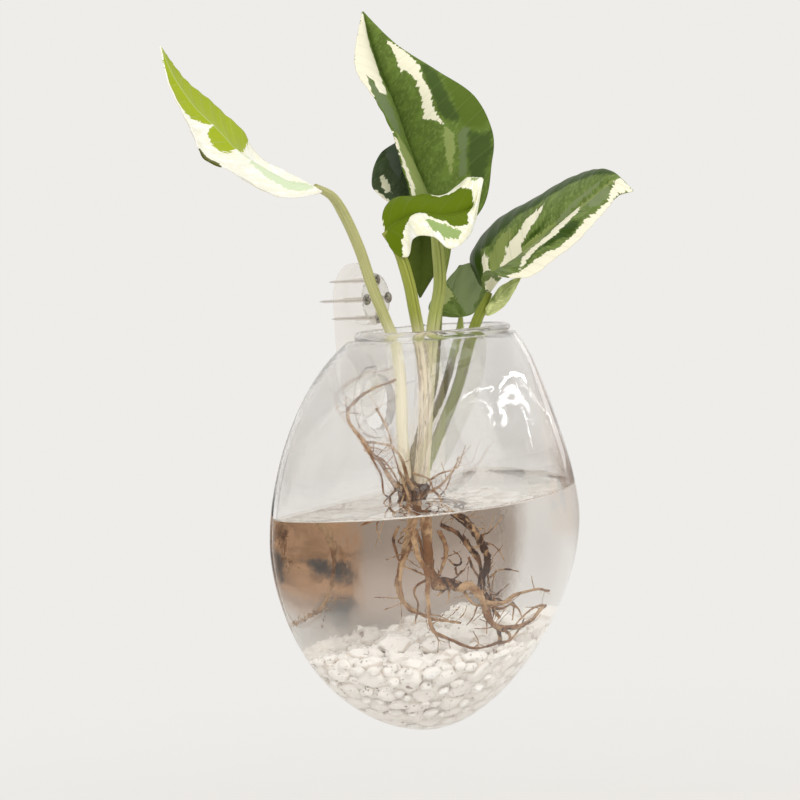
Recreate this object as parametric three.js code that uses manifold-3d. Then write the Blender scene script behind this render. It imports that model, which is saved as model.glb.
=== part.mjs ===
// Hanging terrarium: a clear glass wall vase on a plastic pin hook, with pebbles, water and one rooted plant.
// Millimetres. The wall is the plane Y = 0, the front faces -Y and up is +Z.
// The origin is on the wall, behind the centre of the hook's four pins.

import * as THREE from 'three';
import { mergeVertices } from 'three/addons/utils/BufferGeometryUtils.js';
import Module from 'manifold-3d';

// Driving sizes

// clear space between two pieces that meet
const gap = 0.3;

const hook = {
  width: 27,
  thickness: 3.4,
  footZ: -44,
  bossRadius: 9.6,
  bossFront: 10,
  bossEdge: 1.2,
  pegRadius: 3,
  pegReach: 17.5,
  pegRise: 25,
};

const pin = {
  count: 4,
  circleRadius: 6.9,
  headRadius: 2,
  headHeight: 1.2,
  shankRadius: 0.6,
  intoWall: 11,
};

const vase = {
  halfWidth: 71.5,
  depth: 75,
  wall: 2,
  behind: hook.thickness + 0.6,
  widestZ: -82.6,
  belowWidest: 76.5,
  aboveWidest: 79.4,
  roundness: 1.77,
  middleOut: 8.5,
  footOut: 19.3,
  mouthOut: 28.8,
  backSwell: 0.6,
  backCorner: 5,
  rimZ: -12.8,
  lipRadius: 1.6,
  segments: 36,
};

const eyelet = {
  ringRadius: 11.7,
  beadRadius: 1.9,
  out: 2.4,
};

const waterZ = -72.5;

const gravel = {
  middleZ: -120,
  middleOut: 33,
  riseToRight: 0.1,
  riseToBack: 0.17,
  ripple: 1,
};

// chips are the stones of the bed that show through the glass: they stand proud of the grit by sink,
// and lie in rings from the foot up, pitch apart along a ring
const chip = {
  halfLength: 6,
  sink: 3,
  rings: 8,
  pitch: 11.5,
};

// pebbles lie in rows across the vase: how far the middles of the outer ones keep from the glass,
// and the least distance between rows and within a row
const pebble = {
  halfLength: 6.2,
  fromBack: 8.6,
  fromFront: 12,
  fromSide: 11,
  rowPitch: 12,
  pitch: 16.5,
};

const leafThickness = 1;

// how far a leaf's foot keeps clear of its stalk
const leafSeat = 0.5;

// Shared helpers

const wasm = await Module();
wasm.setup();

const degrees = THREE.MathUtils.degToRad;

function solid(geometry) {
  const bare = geometry.clone();
  bare.deleteAttribute('normal');
  bare.deleteAttribute('uv');
  const merged = mergeVertices(bare, 1e-4);
  const vertProperties = new Float32Array(merged.attributes.position.array);
  const triVerts = new Uint32Array(merged.index.array);
  return new wasm.Manifold(new wasm.Mesh({ numProp: 3, vertProperties, triVerts }));
}

function cut(body, tools) {
  return tools.reduce((left, tool) => left.subtract(tool), body);
}

// the main body of a cut piece, without slivers left beside the cut
function largest(body) {
  return body.decompose().reduce((best, piece) => (piece.volume() > best.volume() ? piece : best));
}

function surface(body) {
  const mesh = body.getMesh();
  const geometry = new THREE.BufferGeometry();
  geometry.setAttribute('position', new THREE.BufferAttribute(new Float32Array(mesh.vertProperties), 3));
  geometry.setIndex(new THREE.BufferAttribute(new Uint32Array(mesh.triVerts), 1));
  const faceted = geometry.toNonIndexed();
  faceted.computeVertexNormals();
  return faceted;
}

// moves every corner of a geometry to where place() puts it
function bend(geometry, place) {
  const corners = geometry.attributes.position;
  const corner = new THREE.Vector3();
  for (let i = 0; i < corners.count; i += 1) {
    corner.fromBufferAttribute(corners, i);
    const moved = place(corner);
    corners.setXYZ(i, moved.x, moved.y, moved.z);
  }
  return geometry;
}

function route(points) {
  return new THREE.CatmullRomCurve3(points.map((p) => new THREE.Vector3(...p)), false, 'centripetal');
}

// a point past the end b of the stretch from a to b
function beyond(a, b, distance) {
  const start = new THREE.Vector3(...a);
  const end = new THREE.Vector3(...b);
  return end.add(end.clone().sub(start).setLength(distance)).toArray();
}

// a round strand along hand-set points, grown by extra at its side and its ends
function strand(points, radius, steps, sides, extra = 0) {
  const section = new THREE.Shape();
  section.absarc(0, 0, radius + extra, 0, 2 * Math.PI);
  const ends = [...points];
  if (extra > 0) {
    ends[0] = beyond(points[1], points[0], extra);
    ends[ends.length - 1] = beyond(points.at(-2), points.at(-1), extra);
  }
  // three.js puts two points on an arc for each of its curve segments
  const options = { steps, curveSegments: sides / 2, extrudePath: route(ends) };
  return solid(new THREE.ExtrudeGeometry(section, options));
}

// Materials

const materials = {
  clearPlastic: new THREE.MeshStandardMaterial({ color: 0xe9ecea, roughness: 0.15, metalness: 0 }),
  steel: new THREE.MeshStandardMaterial({ color: 0x6f6c68, roughness: 0.35, metalness: 1 }),
  glass: new THREE.MeshStandardMaterial({ color: 0xe6efec, roughness: 0.03, metalness: 0 }),
  water: new THREE.MeshStandardMaterial({ color: 0xdfe8e0, roughness: 0.02, metalness: 0 }),
  stone: new THREE.MeshStandardMaterial({ color: 0xd9d3c6, roughness: 0.6, metalness: 0 }),
  leaf: new THREE.MeshStandardMaterial({ color: 0x5b7a22, roughness: 0.4, metalness: 0 }),
  darkLeaf: new THREE.MeshStandardMaterial({ color: 0x3c5236, roughness: 0.4, metalness: 0 }),
  stalk: new THREE.MeshStandardMaterial({ color: 0xa3a25c, roughness: 0.45, metalness: 0 }),
  crown: new THREE.MeshStandardMaterial({ color: 0x6b4a2c, roughness: 0.8, metalness: 0 }),
  root: new THREE.MeshStandardMaterial({ color: 0xa98658, roughness: 0.7, metalness: 0 }),
};

const group = new THREE.Group();
group.name = 'hanging_terrarium';

function add(name, body, material) {
  const mesh = new THREE.Mesh(surface(body), material);
  mesh.name = name;
  group.add(mesh);
}

// Hook plate, boss and peg

const pegTilt = degrees(hook.pegRise);
const eyeletZ = -38.1;
const seatZ = eyeletZ + eyelet.ringRadius - eyelet.beadRadius - gap;
const seatOut = vase.behind + eyelet.out;

function pegPoint(out) {
  const lowered = seatZ - hook.pegRadius / Math.cos(pegTilt);
  return [0, -out, lowered + (out - seatOut) * Math.tan(pegTilt)];
}

function plateBody() {
  const round = hook.width / 2;
  const outline = new THREE.Shape();
  outline.absarc(0, 0, round, 0, Math.PI, false);
  outline.absarc(0, hook.footZ + round, round, Math.PI, 2 * Math.PI, false);
  const slab = new THREE.ExtrudeGeometry(outline, {
    depth: hook.thickness,
    bevelEnabled: false,
    curveSegments: 20,
  });
  slab.rotateX(Math.PI / 2);
  return solid(slab);
}

function bossBody() {
  const profile = [
    new THREE.Vector2(0, hook.thickness / 2),
    new THREE.Vector2(hook.bossRadius, hook.thickness / 2),
    new THREE.Vector2(hook.bossRadius, hook.bossFront - hook.bossEdge),
    new THREE.Vector2(hook.bossRadius - hook.bossEdge, hook.bossFront),
    new THREE.Vector2(0, hook.bossFront),
  ];
  const boss = new THREE.LatheGeometry(profile, 32);
  boss.rotateX(Math.PI);
  return solid(boss);
}

function pinPlaces() {
  const places = [];
  for (let i = 0; i < pin.count; i += 1) {
    const turn = (i * 2 * Math.PI) / pin.count;
    places.push([pin.circleRadius * Math.sin(turn), pin.circleRadius * Math.cos(turn)]);
  }
  return places;
}

// a pin lies along Y, with its head on the boss and its point in the wall
function pinBody(x, z) {
  const headBack = -hook.bossFront - gap;
  const headFront = headBack - pin.headHeight;
  const profile = [
    new THREE.Vector2(0, headFront),
    new THREE.Vector2(pin.headRadius * 0.75, headFront),
    new THREE.Vector2(pin.headRadius, headFront + pin.headHeight / 2),
    new THREE.Vector2(pin.headRadius, headBack),
    new THREE.Vector2(pin.shankRadius, headBack),
    new THREE.Vector2(pin.shankRadius, pin.intoWall - 2.5),
    new THREE.Vector2(0, pin.intoWall),
  ];
  const lathe = new THREE.LatheGeometry(profile, 12);
  lathe.translate(x, 0, z);
  return solid(lathe);
}

function pinHole(x, z) {
  const length = hook.bossFront + 2;
  const hole = new THREE.CylinderGeometry(pin.shankRadius + gap, pin.shankRadius + gap, length, 12);
  hole.translate(x, -hook.bossFront / 2, z);
  return solid(hole);
}

function hookBody() {
  const pegRoot = hook.thickness / 2;
  const pegEnd = hook.pegReach;
  const peg = strand([pegPoint(pegRoot), pegPoint(pegEnd)], hook.pegRadius, 1, 18);
  const joined = plateBody().add(bossBody()).add(peg);
  return cut(joined, pinPlaces().map(([x, z]) => pinHole(x, z)));
}

// Glass vase

// the middle of the blown shape at height z, and how far its front and its back swell out
function bulbSection(z, inset) {
  const height = z - vase.widestZ;
  const lift = THREE.MathUtils.clamp(height / (vase.rimZ - vase.widestZ), 0, 1) ** 2;
  const drop = THREE.MathUtils.clamp(-height / vase.belowWidest, 0, 1) ** 2;
  const rise = THREE.MathUtils.lerp(vase.middleOut, vase.mouthOut, lift);
  const middle = rise + (vase.footOut - vase.middleOut) * drop;
  return {
    middle,
    frontSwell: THREE.MathUtils.lerp((vase.depth - inset - middle) / (vase.halfWidth - inset), 1, lift),
    backSwell: THREE.MathUtils.lerp(vase.backSwell, 1, lift),
  };
}

// the blown shape: a round-shouldered bulb pressed flat at the back, shrunk by inset all round
function bulbPoint(corner, inset) {
  const { middle, frontSwell, backSwell } = bulbSection(corner.z, inset);
  const radius = Math.hypot(corner.x, corner.y);
  const turn = Math.atan2(-corner.y, corner.x);
  const side = Math.sin(turn);
  const swell = side > 0 ? frontSwell : backSwell;
  const out = middle + radius * swell * side;
  const pressed = inset + vase.backCorner * Math.log1p(Math.exp((out - inset) / vase.backCorner));
  return new THREE.Vector3(radius * Math.cos(turn), -vase.behind - pressed, corner.z);
}

function bulbRadius(z, inset) {
  const reach = z < vase.widestZ ? vase.belowWidest : vase.aboveWidest;
  const share = Math.min(Math.abs(z - vase.widestZ) / (reach - inset), 1);
  return (vase.halfWidth - inset) * (1 - share ** vase.roundness) ** (1 / vase.roundness);
}

// levels close up towards the foot, where the shape turns under
function bulbLevels(inset, topZ) {
  const levels = [];
  const below = 8;
  const above = 7;
  for (let i = 1; i <= below; i += 1) {
    const turn = (i * Math.PI) / 2 / below;
    levels.push(vase.widestZ - (vase.belowWidest - inset) * Math.cos(turn));
  }
  for (let i = 1; i <= above; i += 1) {
    levels.push(THREE.MathUtils.lerp(vase.widestZ, vase.rimZ, i / above));
  }
  return levels.filter((z) => z < topZ - 1);
}

function bulbBody(inset, topZ) {
  const foot = vase.widestZ - vase.belowWidest + inset;
  const levels = [...bulbLevels(inset, topZ), topZ];
  const profile = [
    new THREE.Vector2(0, foot),
    ...levels.map((z) => new THREE.Vector2(bulbRadius(z, inset), z)),
    new THREE.Vector2(0, topZ),
  ];
  const lathe = new THREE.LatheGeometry(profile, vase.segments);
  lathe.rotateX(Math.PI / 2);
  return solid(bend(lathe, (corner) => bulbPoint(corner, inset)));
}

function lipBody() {
  const radius = (bulbRadius(vase.rimZ, 0) + bulbRadius(vase.rimZ, vase.wall)) / 2;
  const ring = new THREE.TorusGeometry(radius, vase.lipRadius, 8, vase.segments);
  ring.translate(0, 0, vase.rimZ);
  return solid(bend(ring, (corner) => {
    const centred = new THREE.Vector3(corner.x, corner.y, vase.rimZ);
    const placed = bulbPoint(centred, 0);
    return new THREE.Vector3(placed.x, placed.y, corner.z);
  }));
}

function eyeletBead() {
  const bead = new THREE.TorusGeometry(eyelet.ringRadius, eyelet.beadRadius, 8, 28);
  bead.rotateX(Math.PI / 2);
  bead.translate(0, -seatOut, eyeletZ);
  return solid(bead);
}

function eyeletHole() {
  const hole = new THREE.CylinderGeometry(eyelet.ringRadius, eyelet.ringRadius, 12, 28);
  hole.translate(0, -vase.behind - 1, eyeletZ);
  return solid(hole);
}

function vaseBody() {
  const shell = bulbBody(0, vase.rimZ).subtract(bulbBody(vase.wall, vase.rimZ + 4));
  return shell.add(lipBody()).subtract(eyeletHole()).add(eyeletBead());
}

// Leaves

// one leaf from rows of three points, left edge, midrib and right edge, from the stalk to the tip
// arch lifts the middle of each half blade by a share of its width
function leafBody(rows, arch, extra) {
  const [left, middle, right] = [0, 1, 2].map((column) => route(rows.map((row) => row[column])));
  const place = (along, across) => {
    const rib = middle.getPoint(along);
    const edge = (across < 0 ? left : right).getPoint(along);
    const share = Math.abs(across);
    const point = rib.clone().lerp(edge, share);
    const ahead = middle.getTangent(THREE.MathUtils.clamp(along, 0.02, 0.98));
    const outward = edge.sub(rib).multiplyScalar(Math.sign(across) || 1);
    const lift = 4 * arch * outward.length() * share * (1 - share);
    return point.addScaledVector(outward.cross(ahead).normalize(), lift);
  };
  const lengthSteps = 9;
  const widthSteps = 6;
  const sheet = new THREE.BoxGeometry(2, 2, 2, widthSteps, lengthSteps, 1);
  return solid(bend(sheet, (corner) => {
    const along = (corner.y + 1) / 2;
    const across = corner.x;
    const step = 0.02;
    const alongA = Math.max(along - step, 0);
    const alongB = Math.min(along + step, 1);
    const acrossA = Math.max(across - step, -1);
    const acrossB = Math.min(across + step, 1);
    const ahead = place(alongB, across).sub(place(alongA, across));
    const sideways = place(along, acrossB).sub(place(along, acrossA));
    const face = sideways.clone().cross(ahead).normalize();
    const half = leafThickness / 2 + extra;
    const pastFoot = along === 0 ? -extra : 0;
    const pastEdge = Math.abs(across) === 1 ? extra * across : 0;
    return place(along, across)
      .addScaledVector(face, corner.z * half)
      .addScaledVector(ahead.normalize(), pastFoot)
      .addScaledVector(sideways.normalize(), pastEdge);
  }));
}

const leaves = {
  leaf_upright: {
    arch: 0.08,
    material: 'leaf',
    rows: [
      [[-6, -34, 26], [5, -33, 32], [13, -41, 22]],
      [[-12, -35, 38], [5, -31.5, 38], [16, -49, 32]],
      [[-16, -35, 49], [4.5, -27, 48.5], [16, -53, 46]],
      [[-20, -34, 60], [4, -23, 60], [16.5, -54, 56]],
      [[-21, -30, 70], [4, -19, 72], [15, -48.5, 70]],
      [[-19.5, -22, 79], [3.5, -15, 83], [11, -35, 81]],
      [[-11.5, -15.5, 88.5], [3, -12.5, 93], [7, -22, 91]],
      [[0, -12, 103.8], [0.3, -12, 104], [0.6, -12, 103.8]],
    ],
  },
  leaf_dark: {
    arch: -0.12,
    material: 'darkLeaf',
    rows: [
      [[12.5, -15.5, 57.5], [15.5, -16.5, 58.5], [18.5, -17.5, 57]],
      [[5.5, -12, 52.5], [16, -14, 52], [23, -20.5, 53.5]],
      [[2, -10, 42], [16.5, -14.5, 41], [25.5, -24.5, 42]],
      [[4, -17, 33.5], [17, -17, 30], [25, -27.5, 29]],
      [[7.5, -19, 22.5], [17.5, -19.5, 20.5], [23.5, -28.5, 18]],
      [[7.5, -19.5, 11.5], [14, -21.5, 10], [18, -27, 10.5]],
      [[9.7, -22.4, -0.6], [10, -22.6, -0.8], [10.3, -22.8, -0.6]],
    ],
  },
  leaf_front: {
    arch: 0.15,
    material: 'leaf',
    rows: [
      [[-27, -33, 31], [-29, -35, 24], [-30, -38, 16]],
      [[-22, -35.5, 35.5], [-26, -40, 28], [-27, -42.5, 15]],
      [[-15.5, -40.5, 36], [-23, -45.5, 30], [-29, -46.5, 21]],
      [[-9.5, -46, 35.5], [-19.5, -52.5, 28.5], [-28, -54, 21.5]],
      [[-4.5, -50.5, 38.5], [-15, -57, 29], [-25.5, -58.5, 16.5]],
      [[-2, -54.5, 41], [-9.5, -59.5, 31], [-18, -62, 20.5]],
      [[-1, -58.7, 40.6], [-1, -59, 40.3], [-1.2, -59.3, 40]],
    ],
  },
  leaf_left: {
    arch: 0.1,
    material: 'leaf',
    rows: [
      [[-63, -29, 42], [-65, -33, 40], [-64.5, -37.5, 38]],
      [[-61, -18, 46], [-76, -30, 41.5], [-90, -38.5, 37]],
      [[-66, -11, 52], [-86, -26, 47], [-102, -38, 40]],
      [[-74, -10.5, 61], [-95, -24.5, 52], [-112, -34, 46]],
      [[-84, -10, 67.5], [-102, -22.5, 59], [-118, -29.5, 50]],
      [[-97.5, -10.5, 73.5], [-109.5, -20, 66], [-119.5, -27, 59]],
      [[-109.5, -13, 80.5], [-116, -18, 75.5], [-120, -20, 71.5]],
      [[-118.8, -16.3, 85.2], [-119, -16.5, 85.2], [-119.3, -16.7, 85]],
    ],
  },
  leaf_right: {
    arch: 0.12,
    material: 'leaf',
    rows: [
      [[19, -43, 3], [9, -53, 0], [-8, -63, 9]],
      [[24, -36.5, 12.5], [11.5, -57, 6], [-9, -70, 6]],
      [[30, -38, 19.5], [14, -64.5, 13], [-6, -78.5, 5.5]],
      [[35, -46, 27.5], [16, -73, 19.5], [-1, -85, 10]],
      [[39, -59, 33.5], [18, -81.5, 25.5], [4, -93, 16.5]],
      [[39.5, -74, 39.5], [19.5, -91, 31.5], [11, -99.5, 25.5]],
      [[32.5, -89, 41], [20, -98.5, 36], [15, -102.5, 31]],
      [[18.6, -107.2, 32.7], [18.4, -107.3, 32.5], [18.2, -107.4, 32.3]],
    ],
  },
  leaf_young: {
    arch: 0.12,
    material: 'leaf',
    clasps: 'stalk_right',
    rows: [
      [[6, -52.5, -8], [4.5, -54.5, -8], [4.5, -57, -7.5]],
      [[8, -53.5, -3.5], [4, -58.5, -3], [7, -61, -4]],
      [[10, -57, 1.5], [4.5, -63, 1], [7.5, -64.5, 1.5]],
      [[10.2, -65.6, 5], [10, -66, 5], [9.8, -66.2, 5]],
    ],
  },
  leaf_low: {
    arch: 0.12,
    material: 'darkLeaf',
    rows: [
      [[17, -28, -8.5], [20, -33.5, -9], [24, -36.5, -8.5]],
      [[17, -22, -6], [19, -32, -4.5], [30.5, -38.5, -1.5]],
      [[18.5, -23, -1], [19, -31.5, 1.5], [30.5, -37.5, 6]],
      [[20, -28, 4], [20.5, -32.5, 6], [28, -36, 10.5]],
      [[22.8, -32.5, 10], [23, -33, 10.2], [23.2, -33.5, 10]],
    ],
  },
};

// Crown, stalks and roots

const crown = {
  centre: [-10.5, -27.5, -69],
  sideRadius: 6.5,
  halfHeight: 7.5,
};

function crownBody(extra) {
  const ball = new THREE.SphereGeometry(1, 14, 10);
  ball.rotateX(Math.PI / 2);
  ball.scale(crown.sideRadius + extra, crown.sideRadius + extra, crown.halfHeight + extra);
  ball.translate(...crown.centre);
  return solid(ball);
}

const stalks = {
  stalk_left: {
    radius: 2,
    leaf: 'leaf_left',
    points: [
      [-56.5, -33, 37], [-47, -31, 30.5], [-37, -29.5, 18.5], [-29.5, -28.5, 5.5],
      [-23, -29, -7], [-18, -29.5, -17], [-15.5, -28.5, -32], [-15, -27.5, -47], [-14, -27, -66],
    ],
  },
  stalk_front: {
    radius: 2.2,
    leaf: 'leaf_front',
    points: [
      [-26, -38.5, 16.5], [-21, -38.5, 6], [-16.5, -37, -3],
      [-12, -35.5, -13], [-11, -36, -26], [-11.5, -35.5, -43], [-11.5, -31.5, -66],
    ],
  },
  stalk_upright: {
    radius: 2.4,
    leaf: 'leaf_upright',
    points: [
      [3, -36, 18], [1.5, -37, 4], [-2.5, -36, -9], [-3.5, -34.5, -20],
      [-5, -32.5, -37], [-7.5, -30, -66],
    ],
  },
  stalk_right: {
    radius: 2,
    leaf: 'leaf_right',
    points: [
      [7.5, -51.5, -4], [6.3, -49.5, -9.5], [5.5, -46.5, -18.5], [4.5, -41, -34],
      [2.5, -33.5, -50], [-0.5, -28.5, -61], [-6, -26.5, -68],
    ],
  },
  stalk_dark: {
    radius: 1.6,
    leaf: 'leaf_dark',
    points: [
      [16, -17.5, 62], [18.5, -20.5, 62], [21, -24.5, 56], [22, -30, 38], [17, -31.5, 18], [9.5, -31.5, 2],
      [6.5, -31, -10], [3.5, -29, -31], [-3, -25, -52], [-10, -24.5, -66],
    ],
  },
  stalk_low: {
    radius: 1.5,
    leaf: 'leaf_low',
    points: [
      [19, -33.5, -13], [16.5, -33, -19], [12, -27.5, -38], [4, -20.5, -55], [-7.5, -22, -69],
    ],
  },
};

const stalkSteps = 14;
const stalkSides = 8;

// a stalk starts at the foot of its leaf's midrib
function stalkBody(stalk, extra) {
  const foot = leaves[stalk.leaf].rows[0][1];
  return strand([foot, ...stalk.points], stalk.radius, stalkSteps, stalkSides, extra);
}

const roots = {
  root_loop: {
    radius: 1.1,
    points: [
      [-12, -26.5, -70], [-18.5, -25.5, -66], [-25.5, -25.5, -58], [-30, -24, -53], [-31.5, -22, -48.5],
      [-31.5, -18, -44.5], [-31, -15.5, -40], [-29.5, -16, -36.5], [-27.5, -19, -33.5], [-25.5, -25, -30.5],
      [-23.5, -32, -28],
    ],
  },
  root_side: {
    radius: 0.9,
    points: [
      [-12, -29.5, -70], [-19, -32, -64.5], [-25, -33, -56], [-29, -32.5, -51.5], [-33.5, -29.5, -49], [-37, -25, -48.5],
    ],
  },
  root_short: {
    radius: 0.8,
    points: [[-12, -27, -70], [-17.5, -25.5, -73.5], [-23, -23, -77], [-29, -19, -79.5]],
  },
  root_inner: {
    radius: 1.1,
    points: [
      [-9, -26, -72], [-6, -20.5, -79], [-4, -16.5, -89.5], [-6.5, -15.5, -95.5], [-8.5, -16.5, -102],
      [-8, -21, -107], [-6, -27.5, -110], [-2.5, -33, -112],
    ],
  },
  root_fork: {
    radius: 0.9,
    points: [[-8, -29, -70], [-2.5, -30.5, -70.5], [3, -32, -68.5], [8, -33.5, -64.5], [10.5, -34.5, -59.5]],
  },
  root_chain: {
    radius: 1.3,
    points: [
      [-8, -28.5, -73], [-3, -31.5, -77], [1, -34.5, -82], [1.5, -39, -88.5], [2.5, -40, -94.5], [2.5, -38, -101],
      [5, -38.5, -105.5], [7, -40, -111],
    ],
  },
  root_main: {
    radius: 1.5,
    points: [
      [-10.5, -28, -72], [-10.5, -28.5, -83.5], [-12, -29.5, -92.5], [-12.5, -32, -98], [-10, -38, -99.5],
      [-7, -42.5, -101], [-6, -45.5, -105.5], [-5, -48.5, -113], [-0.5, -54, -116], [7, -57.5, -113.5],
      [13.5, -58, -111],
    ],
  },
  root_lower: {
    radius: 1.1,
    points: [
      [-13, -28.5, -72], [-16.5, -29, -78], [-19, -30, -85], [-20.5, -35, -94.5], [-22, -36, -104],
      [-21.5, -37, -112], [-17.5, -40.5, -116.5], [-12, -45.5, -120.5], [-5, -50.5, -120],
    ],
  },
  root_spur: {
    radius: 1,
    from: 'root_main',
    points: [[-6, -45.5, -105.5], [-0.5, -48, -107], [3.5, -50.5, -104.5], [9, -54, -104], [15.5, -57.5, -105.5]],
  },
};

const rootSteps = 16;
const rootSides = 6;

function rootBody(root, extra) {
  return strand(root.points, root.radius, rootSteps, rootSides, extra);
}

// Gravel

// the gravel is heaped towards the back and the right
function gravelTop(x, y) {
  const back = y + vase.behind + gravel.middleOut;
  const ripple = gravel.ripple * Math.sin(x / 6) * Math.cos(y / 7);
  return gravel.middleZ + gravel.riseToRight * x + gravel.riseToBack * back + ripple;
}

// everything under the top of the gravel, raised by extra
function bedSlab(extra) {
  const width = 2 * vase.halfWidth;
  const depth = vase.depth + 10;
  const height = 60;
  const slab = new THREE.BoxGeometry(width, depth, height, 14, 9, 1);
  slab.translate(0, -vase.behind - vase.depth / 2, 0);
  return solid(bend(slab, (corner) => {
    const top = gravelTop(corner.x, corner.y) + extra;
    return new THREE.Vector3(corner.x, corner.y, corner.z > 0 ? top : gravel.middleZ - height);
  }));
}

// a ring of chips follows the top of the gravel the closer it lies to it
function chipPlaces() {
  const inset = vase.wall + gap + chip.halfLength * 0.9;
  const drop = vase.belowWidest - inset;
  const placeAt = (turn, bow) => {
    const z = vase.widestZ - drop * Math.cos(bow);
    const radius = bulbRadius(z, inset);
    return bulbPoint(new THREE.Vector3(radius * Math.cos(turn), radius * Math.sin(turn), z), inset);
  };
  const bowAt = (z) => Math.acos((vase.widestZ - z) / drop);
  const middleBow = bowAt(gravel.middleZ);
  return Array.from({ length: chip.rings }, (_, ring) => {
    const share = ring / (chip.rings - 1);
    const radius = bulbRadius(vase.widestZ - drop * Math.cos(middleBow * share), inset);
    const around = Math.PI * (radius + (radius * vase.depth) / (2 * vase.halfWidth));
    const count = Math.max(Math.round(around / chip.pitch), 1);
    return Array.from({ length: count }, (__, i) => {
      const turn = (2 * Math.PI * (i + (ring % 2) / 2)) / count;
      const rim = placeAt(turn, middleBow);
      const topBow = bowAt(gravelTop(rim.x, rim.y) - chip.halfLength * 0.7);
      return placeAt(turn, topBow * share);
    });
  }).flat();
}

function chipBody(place, i) {
  const size = chip.halfLength * (0.9 + 0.1 * Math.sin(i * 1.7));
  const stone = new THREE.IcosahedronGeometry(size, 0);
  stone.rotateZ(i * 1.3);
  stone.rotateX(i * 0.7);
  stone.translate(place.x, place.y, place.z);
  return solid(stone);
}

function bedBody() {
  const inside = vase.wall + gap;
  const grit = bulbBody(inside + chip.sink, waterZ);
  const stones = chipPlaces().map(chipBody);
  const packed = stones.reduce((bed, stone) => bed.add(stone), grit);
  return packed.intersect(bulbBody(inside, waterZ)).intersect(bedSlab(0));
}

// how far out the inside of the glass reaches at the front at height z
function frontInside(z) {
  const { middle, frontSwell } = bulbSection(z, vase.wall);
  return middle + bulbRadius(z, vase.wall) * frontSwell;
}

// half the inside width of the glass at height z and a distance out from the flat back
function sideInside(z, out) {
  const { middle, frontSwell, backSwell } = bulbSection(z, vase.wall);
  const swell = out > middle ? frontSwell : backSwell;
  const radius = bulbRadius(z, vase.wall);
  return radius * Math.sqrt(Math.max(1 - ((out - middle) / (radius * swell)) ** 2, 0));
}

// as many places as fit between two ends at a least pitch, spread evenly
function spread(start, end, pitch) {
  const steps = Math.max(Math.floor((end - start) / pitch), 1);
  return Array.from({ length: steps + 1 }, (_, i) => THREE.MathUtils.lerp(start, end, i / steps));
}

function pebblePlaces() {
  const frontZ = gravelTop(0, -vase.behind - frontInside(gravel.middleZ));
  const backOut = vase.wall + pebble.fromBack;
  const frontOut = frontInside(frontZ) - pebble.fromFront;
  return spread(backOut, frontOut, pebble.rowPitch).flatMap((out) => {
    const y = -vase.behind - out;
    const span = sideInside(gravelTop(0, y), out + pebble.halfLength) - pebble.fromSide;
    return spread(-span, span, pebble.pitch).map((x) => [x, y]);
  });
}

function pebbleBody(i, extra) {
  const [x, y] = pebblePlaces()[i];
  const size = pebble.halfLength * (0.72 + 0.28 * Math.sin(i * 2.3) ** 2);
  const ball = new THREE.IcosahedronGeometry(1, 1);
  ball.scale(size + extra, size * 0.8 + extra, size * 0.62 + extra);
  ball.rotateZ(i * 1.9);
  ball.translate(x, y, gravelTop(x, y) - size * 0.1);
  return solid(ball);
}

// Assembly

const pebbleNumbers = pebblePlaces().map((_, i) => i);

add('hook_plate', hookBody(), materials.clearPlastic);

const pinNames = ['pin_top', 'pin_right', 'pin_bottom', 'pin_left'];
pinPlaces().forEach(([x, z], i) => add(pinNames[i], pinBody(x, z), materials.steel));

add('glass_vase', vaseBody(), materials.glass);

const grownCrown = crownBody(gap);
add('root_crown', crownBody(0), materials.crown);

for (const [name, leaf] of Object.entries(leaves)) {
  const tools = leaf.clasps ? [stalkBody(stalks[leaf.clasps], gap)] : [];
  add(name, cut(leafBody(leaf.rows, leaf.arch, 0), tools), materials[leaf.material]);
}

for (const [name, stalk] of Object.entries(stalks)) {
  const leaf = leaves[stalk.leaf];
  const tools = [grownCrown, leafBody(leaf.rows, leaf.arch, leafSeat)];
  add(name, largest(cut(stalkBody(stalk, 0), tools)), materials.stalk);
}

for (const [name, root] of Object.entries(roots)) {
  const tools = [grownCrown];
  if (root.from) {
    tools.push(rootBody(roots[root.from], gap));
  }
  add(name, cut(rootBody(root, 0), tools), materials.root);
}

const grownRoots = Object.values(roots).map((root) => rootBody(root, gap));
const grownPebbles = pebbleNumbers.map((i) => pebbleBody(i, gap));
add('gravel_bed', cut(bedBody(), [...grownPebbles, ...grownRoots]), materials.stone);

for (const i of pebbleNumbers) {
  const number = String(i + 1).padStart(2, '0');
  add(`pebble_${number}`, cut(pebbleBody(i, 0), grownRoots), materials.stone);
}

const fill = bulbBody(vase.wall + gap, waterZ);
add('water', cut(fill, [bedSlab(gap), ...grownPebbles, ...grownRoots, grownCrown]), materials.water);

export default group;
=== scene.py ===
"""Hanging terrarium: a glass wall vase on a plastic pin hook, with pebbles, water and one rooted cutting."""

import math
import random

import bmesh
import bpy
import numpy as np
from bpy.props import FloatProperty, FloatVectorProperty, IntProperty, PointerProperty
from mathutils import Matrix, Vector, kdtree, noise


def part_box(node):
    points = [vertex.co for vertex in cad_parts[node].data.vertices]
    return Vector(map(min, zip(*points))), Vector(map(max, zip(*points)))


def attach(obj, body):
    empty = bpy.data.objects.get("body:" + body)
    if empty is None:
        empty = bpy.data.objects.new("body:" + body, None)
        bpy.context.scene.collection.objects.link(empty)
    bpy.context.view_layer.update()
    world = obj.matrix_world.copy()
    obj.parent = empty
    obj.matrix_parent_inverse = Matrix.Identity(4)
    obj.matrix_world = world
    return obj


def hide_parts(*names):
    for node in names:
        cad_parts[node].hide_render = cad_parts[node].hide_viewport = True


bl_info = {
    "name": "Hanging Terrarium",
    "version": (1, 0, 0),
    "blender": (4, 5, 0),
    "location": "View3D > Sidebar > Terrarium",
    "description": "Builds the glass vase, its hook, water, gravel and plant around the packed frame",
    "category": "Add Mesh",
}

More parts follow.
